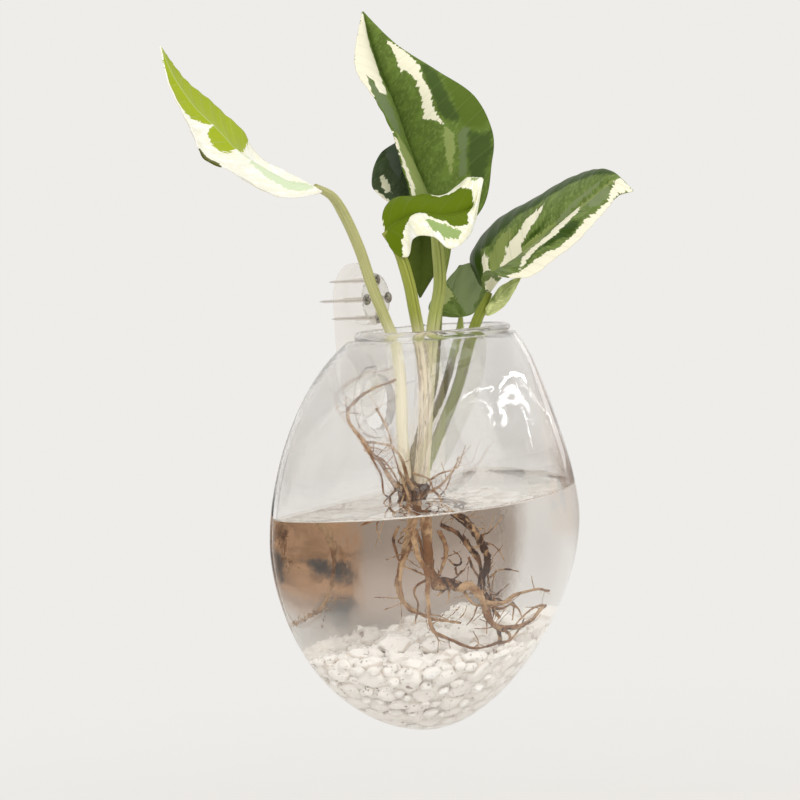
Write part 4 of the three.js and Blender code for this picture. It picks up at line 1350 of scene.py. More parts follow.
class TERRARIUM_OT_leaves(bpy.types.Operator):
    """Grows the seven leaves with their folds, veins and pale markings"""

    bl_idname = "terrarium.leaves"
    bl_label = "Leaves"

    def execute(self, context):
        look = context.scene.terrarium_leaf
        for name, rows in LEAF_ROWS.items():
            self.grow(name, rows, look)
        return {"FINISHED"}

    def grow(self, name, rows, look):
        curves = [route(row[column] for row in rows) for column in range(3)]
        arch = LEAF_ARCH[name]
        size = 0.5 if name in SMALL_LEAVES else 1.0
        along_steps = int(look.steps * size)
        across_steps = int(look.steps * size * 0.62) // 2 * 2
        shape = bmesh.new()
        uv = shape.loops.layers.uv.verify()
        bmesh.ops.create_grid(shape, x_segments=across_steps, y_segments=along_steps, size=1.0)
        seed = Vector((len(name) * 1.7, rows[0][0][0] * 0.1, 0.0))
        ribs = [centripetal(curves[1], i / 60) for i in range(61)]
        runs = [0.0]
        for first, second in zip(ribs, ribs[1:]):
            runs.append(runs[-1] + (second - first).length)

        def flat_spot(across, along):
            """A place on the leaf, laid flat, in metres."""
            _, _, half = leaf_point(curves, arch, min(max(along, 0.0), 1.0), across)
            return across * half, float(np.interp(along * 60, range(61), runs))

        spots = {}
        for corner in shape.verts:
            across, run = corner.co.x, (corner.co.y + 1) / 2
            start = leaf_start(abs(across))
            spots[corner] = (across, start + (1 - start) * run)
        flats = {}
        for corner, (across, along) in spots.items():
            place, normal, half = leaf_point(curves, arch, along, across)
            x, y = flat_spot(across, along)
            flats[corner] = (x, y)
            share = abs(across)
            fade = min(along * 6, 1.0) * min((1 - along) * 5, 1.0)
            groove = -GROOVE_DEPTH * math.exp(-((x / GROOVE_WIDTH) ** 2)) * fade
            vein = look.vein * math.sin((y - abs(x) * VEIN_SLANT) / VEIN_RUN) * min(share * 3, 1.0) * fade
            swing = noise.noise(Vector((across * 1.3, along * 5.5, 0)) + seed)
            wave = BLADE_WAVE * swing * share ** 2 * fade
            corner.co = place + normal * (groove + vein + wave)
        for face in shape.faces:
            for loop in face.loops:
                x, y = flats[loop.vert]
                loop[uv].uv = (x * 100, y * 100)
        table = np.array([flats[corner] for corner in shape.verts])
        for kind in MARK_EDGES:
            layer = shape.verts.layers.float.new(kind)
            reach = np.full(len(table), -0.006)
            for outline in LEAF_MARKS[name].get(kind, ()):
                flat_outline = np.array([flat_spot(*spot) for spot in outline])
                reach = np.maximum(reach, inside_distance(table, flat_outline))
            for corner, value in zip(shape.verts, reach):
                corner[layer] = float(value) * 1000
        face_out(shape)
        leaf = make_object("blade" + name[4:], shape, leaf_materials(name, look), 180)
        shell = leaf.modifiers.new("thickness", "SOLIDIFY")
        shell.thickness = look.thickness
        shell.offset = 0.0
        shell.material_offset = 1
        slot = "leaf_dark_green" if name in DARK_LEAVES else "leaf_green"
        place_piece(leaf, "plant", slot, name)


def leaf_materials(name, look):
    """The upper and the under face, with the same markings."""
    tones = {
        "green": look.green, "grey": look.grey, "bright": look.bright, "deep": look.deep, "pale": look.pale,
        "cream": look.cream, **LEAF_TONES[name],
    }
    made = []
    for side in ("upper", "under"):
        graph = new_graph(f"{name[5:]} leaf {side} face")
        x, y, _ = graph.split(graph.node("ShaderNodeUVMap", output="UV"))
        half = graph.math("SIGN", x) * 7.0
        out = abs(x)
        vein_run = y - out * VEIN_SLANT
        jag = graph.noise(graph.join(vein_run * 7.0, out * 2.4, half), 1.0, 3.0, 0.65)
        cloud = graph.noise(graph.join(vein_run * 2.6, out * 1.3, half), 1.0, 3.0, 0.6)
        grain = graph.noise(graph.join(x, y, 0.0), 26.0, 3.0, 0.7)
        lighter = [min(c * 1.6 + 0.008, 1.0) for c in tones["green"]]
        body = graph.blend(graph.step(cloud, 0.42, 0.66) * 0.7, tones["green"], lighter)
        mottle = graph.noise(graph.join(vein_run * 9.0, out * 5.0, half), 1.0, 4.0, 0.7)
        misty = [min(c * 1.8 + 0.032, 1.0) for c in tones["green"]]
        body = graph.blend(graph.step(mottle, 0.47, 0.66) * 0.7, body, misty)
        for kind, edge in MARK_EDGES.items():
            if kind not in LEAF_MARKS[name]:
                continue
            reach = graph.attribute(kind) + (jag - 0.5) * 4.2
            soft = CRISP_EDGE if name in CRISP_LEAVES else edge
            body = graph.blend(graph.step(reach, -soft, soft), body, tones[kind])
        vein = graph.math("SINE", vein_run * (FULL_TURN / VEIN_PITCH))
        line = graph.step(vein, 0.9, 1.0) * graph.step(out, 0.02, 0.2)
        rib = graph.step(out, 0.05, 0.02)
        relief = line * 0.5 + rib * 0.6 + grain * 0.25
        body = graph.blend(line * 0.08 + rib * 0.22, body, tones["pale"])
        body = graph.blend(graph.step(grain, 0.35, 0.75) * 0.3, body, (0.62, 0.62, 0.58), "MULTIPLY")
        if side == "under":
            body = graph.blend(0.07, body, (0.42, 0.50, 0.26))
        made.append(graph.finish(principled(
            graph, color=body, roughness=0.42 if side == "upper" else 0.5, specular=0.12,
            normal=graph.bump(relief, 0.0002, 0.6),
        )))
    return made


# Stalks, crown and roots

# each stalk in mm: half thickness, its leaf, and its route from the leaf to the crown
STALKS = {
    "stalk_left": (2.0, "leaf_left", [
        (-56.5, -33, 37), (-47, -31, 30.5), (-37, -29.5, 18.5), (-29.5, -28.5, 5.5), (-23, -29, -7),
        (-18, -29.5, -17), (-15.5, -28.5, -32), (-15, -27.5, -47), (-14, -27, -66),
    ]),
    "stalk_front": (2.2, "leaf_front", [
        (-26, -38.5, 16.5), (-21, -38.5, 6), (-16.5, -37, -3), (-12, -35.5, -13), (-11, -36, -26),
        (-11.5, -35.5, -43), (-11.5, -31.5, -66),
    ]),
    "stalk_upright": (2.4, "leaf_upright", [
        (3, -36, 18), (1.5, -37, 4), (-2.5, -36, -9), (-3.5, -34.5, -20), (-5, -32.5, -37),
        (-7.5, -30, -66),
    ]),
    "stalk_right": (2.0, "leaf_right", [
        (7.5, -51.5, -4), (6.0, -49.0, -9.5), (4.8, -45.5, -18.5), (3.8, -40, -34), (1.8, -32.5, -50),
        (-0.9, -28, -61), (-6, -26.5, -68),
    ]),
    "stalk_dark": (1.6, "leaf_dark", [
        (16, -17.5, 62), (18.5, -20.5, 62), (21, -24.5, 56), (22, -30, 38), (17, -31.5, 18),
        (9.5, -31.5, 2), (6.9, -31.6, -10), (4.2, -30, -31), (-2.3, -26, -52), (-10, -24.5, -66),
    ]),
    "stalk_low": (1.5, "leaf_low", [
        (19, -33.5, -13), (16.5, -33, -19), (12, -27.5, -38), (4, -20.5, -55), (-7.5, -22, -69),
    ]),
}

# each root in mm: half thickness and route from the crown
ROOTS = {
    "root_loop": (1.1, [
        (-12, -26.5, -70), (-18.5, -25.5, -66), (-25.5, -25.5, -58), (-30, -24, -53), (-31.5, -22, -48.5),
        (-31.5, -18, -44.5), (-31, -15.5, -40), (-29.5, -16, -36.5), (-27.5, -19, -33.5),
        (-25.5, -25, -30.5), (-23.5, -32, -28),
    ]),
    "root_side": (0.9, [
        (-12, -29.5, -70), (-19, -32, -64.5), (-25, -33, -56), (-29, -32.5, -51.5), (-33.5, -29.5, -49),
        (-37, -25, -48.5),
    ]),
    "root_short": (0.8, [
        (-12, -27, -70), (-17.5, -25.5, -73.5), (-23, -23, -77), (-29, -19, -79.5),
    ]),
    "root_inner": (1.1, [
        (-9, -26, -72), (-6, -20.5, -79), (-4, -16.5, -89.5), (-6.5, -15.5, -95.5), (-8.5, -16.5, -102),
        (-8, -21, -107), (-6, -27.5, -110), (-2.5, -33, -112),
    ]),
    "root_fork": (0.9, [
        (-8, -29, -70), (-2.5, -30.5, -70.5), (3, -32, -68.5), (8, -33.5, -64.5), (10.5, -34.5, -59.5),
    ]),
    "root_chain": (1.3, [
        (-8, -28.5, -73), (-3, -31.5, -77), (1, -34.5, -82), (1.5, -39, -88.5), (2.5, -40, -94.5),
        (2.5, -38, -101), (5, -38.5, -105.5), (7, -40, -111),
    ]),
    "root_main": (1.5, [
        (-10.5, -28, -72), (-10.5, -28.5, -83.5), (-12, -29.5, -92.5), (-12.5, -32, -98), (-10, -38, -99.5),
        (-7, -42.5, -101), (-6, -45.5, -105.5), (-5, -48.5, -113), (-0.5, -54, -116), (7, -57.5, -113.5),
        (13.5, -58, -111),
    ]),
    "root_lower": (1.1, [
        (-13, -28.5, -72), (-16.5, -29, -78), (-19, -30, -85), (-20.5, -35, -94.5), (-22, -36, -104),
        (-21.5, -37, -112), (-17.5, -40.5, -116.5), (-12, -45.5, -120.5), (-5, -50.5, -120),
    ]),
    "root_spur": (1.0, [
        (-6, -45.5, -105.5), (-0.5, -48, -107), (3.5, -50.5, -104.5), (9, -54, -104), (15.5, -57.5, -105.5),
    ]),
}

# finer roots of each root, in mm: half thickness and route
SIDE_ROOTS = {
    "root_side": [
        (0.55, [(-23.5, -23, -38), (-22.5, -24.5, -42.5), (-20.5, -25.5, -47), (-19, -25.5, -52.5),
            (-18, -26, -57), (-15.5, -25.5, -63.5)]),
        (0.35, [(-23, -18, -52), (-22, -21.5, -52.5), (-20.5, -24, -53.5), (-18, -25.5, -52)]),
    ],
    "root_loop": [
        (0.6, [(-22, -14.5, -50), (-22.5, -17.5, -54), (-22.5, -20.5, -59), (-22.5, -22.5, -63),
            (-21.5, -22.5, -68.5), (-17.5, -22.5, -71.5)]),
        (0.6, [(-23, -16.5, -53), (-24.5, -21.5, -55.5), (-24, -24, -56), (-21.5, -25.5, -59.5),
            (-19, -26, -63), (-16.5, -26, -67)]),
        (0.25, [(-20, -8.5, -40), (-21.5, -11.5, -40), (-22, -14, -40)]),
    ],
    "root_fork": [
        (0.7, [(-15.5, -31.5, -62), (-15.5, -35, -63), (-15, -37.5, -64.5), (-15, -39.5, -68),
            (-14, -41, -71), (-12.5, -41, -75.5)]),
        (0.45, [(-14.5, -38, -64.5), (-13.5, -41.5, -62.5), (-11.5, -44.5, -61.5), (-10, -47, -60.5)]),
        (0.35, [(-10, -47, -60.5), (-9, -48, -57), (-7.5, -49, -53)]),
        (0.35, [(-11.5, -45, -61.5), (-12.5, -44.5, -65), (-13.5, -43, -68.5), (-15, -41, -70.5)]),
        (0.3, [(-16.5, -35, -74.5), (-17.5, -35.5, -71.5), (-17.5, -37.5, -69.5), (-15, -39, -68.5)]),
    ],
    "root_main": [
        (0.9, [(-20, -28.5, -61), (-20.5, -30.5, -65.5), (-20, -32, -70), (-18.5, -32.5, -74.5)]),
        (1.0, [(-6.5, -30.5, -84), (-6.5, -32, -88.5), (-7.5, -32.5, -91), (-9, -32, -94.5),
            (-11.5, -32, -97)]),
        (0.9, [(-12, -25.5, -82.5), (-12, -27.5, -87.5), (-12.5, -28.5, -91), (-12.5, -30, -94.5)]),
        (0.8, [(-10.5, -35.5, -99), (-11.5, -34, -100.5), (-13, -33, -102)]),
        (0.45, [(-10.5, -35.5, -100), (-11, -36, -102.5), (-11.5, -35.5, -104.5)]),
        (0.5, [(-12, -31, -94.5), (-10, -32.5, -97), (-8, -33.5, -98), (-5.5, -35, -97), (-4, -36, -95)]),
        (0.7, [(-8, -38.5, -100), (-8, -40.5, -103), (-7, -42, -105.5), (-5.5, -44, -106.5)]),
        (0.4, [(-6.5, -43, -106.5), (-8, -42.5, -109.5), (-10, -41, -112.5)]),
        (0.4, [(-4.5, -45.5, -109), (-5.5, -46, -112), (-6.5, -47, -116.5)]),
        (1.0, [(-3.5, -49.5, -115), (-3, -50, -119.5), (-3.5, -49.5, -124), (-3.5, -49, -128)]),
        (0.7, [(-3, -50, -114.5), (0, -52.5, -119), (-1, -51.5, -122), (-1.5, -50.5, -125)]),
        (0.7, [(13.5, -58, -111), (10, -56.5, -110), (6.5, -55, -111), (4, -53.5, -113),
            (1, -52.5, -116.5)]),
    ],
    "root_short": [
        (0.5, [(-17, -25, -68), (-20.5, -24, -70), (-20, -24.5, -73), (-17.5, -26.5, -74)]),
        (0.4, [(-18.5, -23, -70.5), (-20.5, -21.5, -72), (-20.5, -22, -74), (-20, -23, -75.5)]),
        (0.4, [(-19, -29.5, -69), (-21.5, -29.5, -72), (-22.5, -28, -74.5)]),
    ],
    "root_chain": [
        (0.8, [(-5.5, -30.5, -82.5), (-3, -32, -84.5), (-1, -33, -86), (0, -35, -89), (1, -36.5, -91.5),
            (2.5, -38, -95)]),
        (0.9, [(2, -32, -87), (3, -34, -90), (4, -35.5, -92.5), (4.5, -36, -96.5), (4, -37, -100.5),
            (3, -39, -105.5), (1, -41.5, -109), (-1.5, -45, -112.5), (-0.5, -48.5, -115)]),
        (0.5, [(1, -34.5, -92), (1.5, -35.5, -95), (2.5, -36.5, -98), (2, -38, -101.5),
            (2, -39.5, -104.5)]),
        (0.45, [(5, -38.5, -93.5), (5, -38.5, -97), (5, -38.5, -101), (4.5, -39.5, -104.5)]),
        (0.35, [(-4.5, -31.5, -92), (-3.5, -33, -94), (-2, -34, -93.5), (-1, -33, -91.5),
            (-3, -32.5, -90)]),
        (0.35, [(-3.5, -33, -94.5), (-4, -34, -96.5), (-2.5, -35, -95.5), (0.5, -35, -93)]),
        (0.3, [(-7, -31, -91.5), (-5.5, -32, -91), (-3.5, -33, -90.5), (-1.5, -34, -90)]),
        (0.35, [(4.5, -36.5, -87.5), (7.5, -38.5, -86), (9.5, -39.5, -84.5), (11, -40.5, -82.5)]),
        (0.35, [(5.5, -38, -89), (7, -39.5, -89.5), (8, -41, -91.5), (9.5, -41.5, -94.5)]),
        (0.4, [(4.5, -39.5, -98.5), (6, -40.5, -97), (8.5, -42, -96.5), (10.5, -43, -97),
            (12.5, -44.5, -98)]),
        (0.3, [(3.5, -41.5, -104.5), (6, -42, -103), (9, -43, -101)]),
    ],
    "root_spur": [
        (0.7, [(0, -43.5, -107), (1.5, -45.5, -108.5), (3.5, -47, -108), (5, -48, -107),
            (5.5, -48.5, -109.5), (4.5, -49, -113)]),
        (0.5, [(1.5, -42, -106.5), (3, -42.5, -105), (4, -44.5, -106), (5, -46, -107)]),
        (0.5, [(5, -48, -107.5), (6.5, -49.5, -109.5), (6.5, -51.5, -112.5)]),
    ],
    "root_lower": [
        (0.9, [(-15.5, -24.5, -82), (-15, -26.5, -85.5), (-16.5, -26, -89), (-19.5, -25.5, -92),
            (-21.5, -26, -97.5), (-22, -27, -102), (-21.5, -29.5, -105.5), (-19.5, -32.5, -107)]),
        (0.6, [(-16, -23, -81.5), (-18, -22, -85.5), (-18, -23.5, -89.5), (-18.5, -25, -92),
            (-16.5, -28, -94), (-14.5, -31, -96)]),
        (0.55, [(-14, -30, -97), (-16.5, -28, -98.5), (-17.5, -28, -100.5), (-18, -29.5, -103.5),
            (-19, -29.5, -106.5), (-20.5, -29.5, -110)]),
        (0.35, [(-19.5, -31, -107), (-17.5, -34, -107.5), (-16, -36, -108.5), (-14, -37.5, -110.5)]),
        (0.3, [(-9.5, -45.5, -121.5), (-13, -44.5, -126.5), (-16, -43, -132)]),
        (0.9, [(-5, -50.5, -120), (-2, -53.5, -120.5), (1, -54, -119), (3.5, -54, -116),
            (5.5, -53.5, -113.5)]),
    ],
    "root_inner": [
        (0.35, [(-14, -23, -84.5), (-15.5, -22, -86), (-16, -23.5, -86.5), (-15, -24.5, -85)]),
        (0.3, [(-12.5, -25, -84.5), (-13.5, -23.5, -82.5), (-14.5, -22, -84)]),
    ],
}

# where the roots carry a dark crust, in mm: middle and reach
CRUSTS = [
    ((-1, -32, -84), 7), ((3, -36, -90), 7), ((3, -38, -98), 8), ((2, -41, -105), 6), ((-10, -34, -99), 6),
    ((-6, -37, -100), 5), ((-16, -28, -94), 4), ((6, -48, -107), 4), ((-3, -50, -118), 5),
    ((5, -54, -115), 4), ((-28, -23, -38), 5), ((-14, -41, -70), 4), ((-19, -24, -71), 6),
    ((9, -43, -97), 2.5), ((-18, -24, -86), 3), ((-3, -34, -93), 5), ((-19, -30, -57), 3),
]

# the crown in mm: its middle and its half sizes
CROWN = (-10.5, -27.5, -69)
CROWN_HALF = (6.5, 6.5, 7.5)

# each stalk's colour in the air and inside the glass, and how much brown it has there
STALK_TONES = {
    "stalk_left": ((0.47, 0.47, 0.20), (0.84, 0.80, 0.62), 0.0),
    "stalk_front": ((0.33, 0.37, 0.06), (0.80, 0.72, 0.55), 0.7),
    "stalk_upright": ((0.40, 0.45, 0.12), (0.70, 0.66, 0.42), 0.25),
    "stalk_right": ((0.25, 0.30, 0.04), (0.20, 0.25, 0.035), 0.6),
    "stalk_dark": ((0.24, 0.30, 0.06), (0.11, 0.10, 0.04), 1.0),
    "stalk_low": ((0.30, 0.35, 0.09), (0.10, 0.085, 0.045), 1.0),
}


# the heights between which a stalk takes on its inner colour: just under the rim, and lower for one
STALK_CHANGE = (-0.004, -0.022)
LOW_STALK_CHANGE = (-0.019, -0.029)
# the hairs on the roots that have more than the others
HAIRS = {"root_chain": 36, "root_main": 26, "root_lower": 14}
FEW_HAIRS = 8
# how much the crust swells a root's skin, in metres, and how freely it grows
ROOT_CRUST = (0.00055, -0.05)
CHAIN_CRUST = (0.00055, 0.2)
SIDE_CRUST = (0.00012, -0.25)
CRUST_LUMP = 0.0017
CRUST_GRAIN = 0.0008
# a root's knots, lumps and wander: the share of its thickness, and the run of one
KNOTS = (0.3, 0.004)
LUMPS = (0.14, 0.0025)
WANDER = (0.9, 0.006)
ROOT_STEP = 0.0008


def stalk_material(name, look):
    graph = new_graph(name.replace("_", " ") + " skin")
    place = graph.object_place()
    _, _, z = graph.split(place)
    u, v, _ = graph.split(graph.node("ShaderNodeUVMap", output="UV"))
    turn = u * FULL_TURN
    around = graph.join(graph.math("COSINE", turn), graph.math("SINE", turn), v * 0.9)
    ridge = graph.noise(around, 3.2, 3.0, 0.6)
    cloud = graph.noise(place, 120.0, 4.0, 0.65)
    mark = graph.noise(graph.join(turn * 0.5, v * 1.6, 3.0), 2.0, 3.0, 0.7)
    air, glass, brown = STALK_TONES[name]
    high, low = LOW_STALK_CHANGE if name == "stalk_low" else STALK_CHANGE
    under = graph.step(z, high, low)
    body = graph.blend(under, air, glass)
    body = graph.blend(graph.step(ridge, 0.45, 0.62) * 0.3, body, (1.45, 1.4, 1.5), "MULTIPLY")
    body = graph.blend(graph.step(ridge, 0.42, 0.33) * 0.3, body, (0.55, 0.6, 0.45), "MULTIPLY")
    strip = graph.step(mark + (cloud - 0.5) * 0.5, 0.62 - 0.12 * brown, 0.68 - 0.12 * brown)
    body = graph.blend(strip * under * brown * 0.85, body, look.scar)
    return graph.finish(principled(
        graph, color=body, roughness=0.42, specular=0.35, normal=graph.bump(ridge + cloud * 0.3, 0.0005)
    ))


def root_material(name, look, crust_tone):
    graph = new_graph(name)
    place = graph.object_place()
    cloud = graph.noise(place, 130.0, 4.0, 0.65)
    fine = graph.noise(place, 900.0, 3.0, 0.6)
    crust = graph.attribute("crust")
    body = graph.blend(graph.step(cloud, 0.4, 0.6), look.root, look.pale_root)
    body = graph.blend(graph.step(fine, 0.5, 0.66) * 0.55, body, look.scar)
    body = graph.blend(graph.step(crust + (fine - 0.5) * 0.7, 0.2, 0.55), body, crust_tone)
    return graph.finish(principled(
        graph, color=body, roughness=0.62, specular=0.2, normal=graph.bump(fine + cloud, 0.0005)
    ))


def grow_crust(shape, swell, more):
    """Swells a root's skin where it carries a crust and notes how much."""
    layer = shape.verts.layers.float.new("crust")
    shape.normal_update()
    pushes = []
    for corner in shape.verts:
        near = max(1 - (corner.co - Vector(middle) * MM).length / (reach * MM) for middle, reach in CRUSTS)
        lump = noise.noise(corner.co / CRUST_LUMP) + 0.5 * noise.noise(corner.co / CRUST_GRAIN)
        crust = min(max(0.9 * max(near, -0.4) + 0.9 * lump + more, 0.0), 1.0)
        corner[layer] = crust
        pushes.append(corner.normal * swell * crust)
    for corner, push in zip(shape.verts, pushes):
        corner.co += push


class TERRARIUM_OT_stalks(bpy.types.Operator):
    """Grows the leaf stalks from the crown"""

    bl_idname = "terrarium.stalks"
    bl_label = "Stalks"

    def execute(self, context):
        look = context.scene.terrarium_stem
        for name, (radius, leaf, points) in STALKS.items():
            foot = LEAF_ROWS[leaf][0][1]
            centre = route([foot, *points])
            shape = bmesh.new()

            def thickness(t, radius=radius):
                return radius * MM * (0.62 + 0.38 * min(t * 5, 1.0)) * (0.9 + 0.16 * t)

            def grooves(t, turn):
                dent = math.exp(-((turn % FULL_TURN - math.pi) / 0.45) ** 2)
                return 0.05 * math.cos(3 * turn) + 0.02 * math.cos(9 * turn) - 0.14 * dent * (1 - t * 0.5)

            sweep(shape, lambda t, c=centre: centripetal(c, t), thickness, 120, 28, extra=grooves)
            face_out(shape)
            piece = make_object(name.replace("stalk_", "petiole_"), shape, [stalk_material(name, look)], 60)
            place_piece(piece, "plant", "stalk", name)
        return {"FINISHED"}


class TERRARIUM_OT_roots(bpy.types.Operator):
    """Grows the root crown and the roots, with their finer roots and dark crusts"""

    bl_idname = "terrarium.roots"
    bl_label = "Crown and Roots"

    def execute(self, context):
        look = context.scene.terrarium_stem
        skin = root_material("root skin", look, look.crust)
        dice = random.Random(11)
        # without a seed, noise vectors start from the clock
        noise.seed_set(11)
        for name, (radius, points) in ROOTS.items():
            shape = bmesh.new()
            self.strand(shape, points, radius * (1.15 if name == "root_main" else 0.85), 0.55, dice, 10)
            grow_crust(shape, *(CHAIN_CRUST if name == "root_chain" else ROOT_CRUST))
            side = bmesh.new()
            for fine, fine_points in SIDE_ROOTS.get(name, ()):
                self.strand(side, fine_points, fine * 0.8, 0.5, dice, 8)
            grow_crust(side, *SIDE_CRUST)
            join_into(shape, side)
            centre = route(points)
            for _ in range(HAIRS.get(name, FEW_HAIRS)):
                begin = centripetal(centre, dice.uniform(0.12, 0.95))
                away = Vector((dice.gauss(0, 1), dice.gauss(0, 1), dice.gauss(-0.5, 0.6))).normalized()
                bend = any_way(dice)
                pace = dice.uniform(0.5, 1.25)
                hair = [begin / MM]
                for _ in range(9):
                    away = (away + bend * dice.uniform(0.0, 0.9)).normalized()
                    hair.append(hair[-1] + away * pace)
                self.strand(shape, hair, dice.uniform(0.12, 0.24), 0.45, dice, 5)
            face_out(shape)
            piece = make_object(name.replace("root_", "rooting_"), shape, [skin], 80)
            place_piece(piece, "plant", "root", name)
        self.crown(root_material("crown skin", look, look.knot))
        return {"FINISHED"}

    def strand(self, shape, points, radius, taper, dice, sides):
        """Adds one root of knobbly thickness."""
        centre = route(points)
        extent = sum((b - a).length for a, b in zip(centre, centre[1:]))
        seed = random_seed(dice)
        part = bmesh.new()

        def thickness(t):
            knots = 1 + KNOTS[0] * noise.noise(Vector((t * extent / KNOTS[1], 0, 0)) + seed)
            return radius * MM * (1 - taper * t) * knots

        def lumps(t, turn):
            spot = Vector((math.cos(turn), math.sin(turn), t * extent / LUMPS[1]))
            return LUMPS[0] * noise.noise(spot + seed)

        def wander(t):
            drift = noise.noise_vector(Vector((t * extent / WANDER[1], 0, 0)) + seed)
            return centripetal(centre, t) + drift * radius * MM * WANDER[0] * min(t * 6, 1.0)

        steps = max(int(extent / ROOT_STEP), 8)
        sweep(part, wander, thickness, steps, sides, extra=lumps)
        join_into(shape, part)

    def crown(self, skin):
        shape = bmesh.new()
        bmesh.ops.create_icosphere(shape, subdivisions=6, radius=1.0)
        for corner in shape.verts:
            ball = corner.co.copy()
            strands = noise.noise(Vector((ball.x * 4.5, ball.y * 4.5, ball.z * 1.2)))
            swell = 0.8 + 0.16 * noise.noise(ball * 1.6) + 0.14 * strands + 0.05 * noise.noise(ball * 9)
            stretched = Vector([ball[k] * CROWN_HALF[k] for k in range(3)])
            corner.co = Vector(CROWN) * MM + stretched * MM * swell
        layer = shape.verts.layers.float.new("crust")
        for corner in shape.verts:
            corner[layer] = 0.7 + 0.9 * noise.noise(corner.co / 0.003)
        crown = make_object("crown_knot", shape, [skin], 180)
        place_piece(crown, "plant", "crown", "root_crown")


# Stage

# the camera's turn to the right, its tilt down and its roll, in degrees
CAMERA_ANGLES = (56.3, 4.8, 3.7)
# the spot it is set up for, the picture's middle to the right of it and over it, and the distance
CAMERA_SPOT = (0, -0.004, -0.0354)
CAMERA_SHIFT = (0.01141, -0.001963)
CAMERA_DISTANCE = 0.7
CAMERA_LENS = 85.05
# strip lights for the glints on the vase's shoulder: place, size, share of the power, line of the strip
SHOULDER = (0, -0.067, -0.031)
GLINTS = (
    ((1.08, -0.885, 0.233), (0.85, 0.011), 1.0, (0.72, 0.863, -0.254)),
    ((0.36, -1.363, 0.5), (0.765, 0.007), 0.5, (0.721, 0.094, -0.237)),
    ((1.5, 0.02, 0.1), (0.4, 0.26), 0.35, (0, 0, 1)),
    ((1.22, -0.91, 0.185), (0.05, 0.012), 0.05, (0, 0, 1)),
)
# the soft lights aim at the middle of the vase
VASE_MIDDLE = (0, -0.03, -0.03)
# spots in the warm patch: turn and height of the middle, half width and half height
DARK_SPOTS = ((0.48, -0.04, 0.07, 0.035), (0.50, 0.07, 0.06, 0.045), (0.28, -0.04, 0.07, 0.07))
FLOOR_RADIUS = 6.0


def lamp(name, place, target, size, strength, tint=(1.0, 1.0, 1.0), along=None):
    """A soft light; one that lies along a line is a strip that only mirrors show."""
    light = bpy.data.lights.new(name, "AREA")
    light.shape = "RECTANGLE"
    light.size, light.size_y = size
    light.energy = strength
    light.color = tint
    made = bpy.data.objects.new(name, light)
    bpy.context.scene.collection.objects.link(made)
    back = (Vector(place) - Vector(target)).normalized()
    side = Vector(along) if along else Vector((-back.y, back.x, 0))
    side = (side - back * side.dot(back)).normalized()
    turn = Matrix((side, back.cross(side), back)).transposed().to_4x4()
    made.matrix_world = Matrix.Translation(place) @ turn
    made.visible_glossy = bool(along)
    made.visible_diffuse = not along
    made.visible_transmission = False


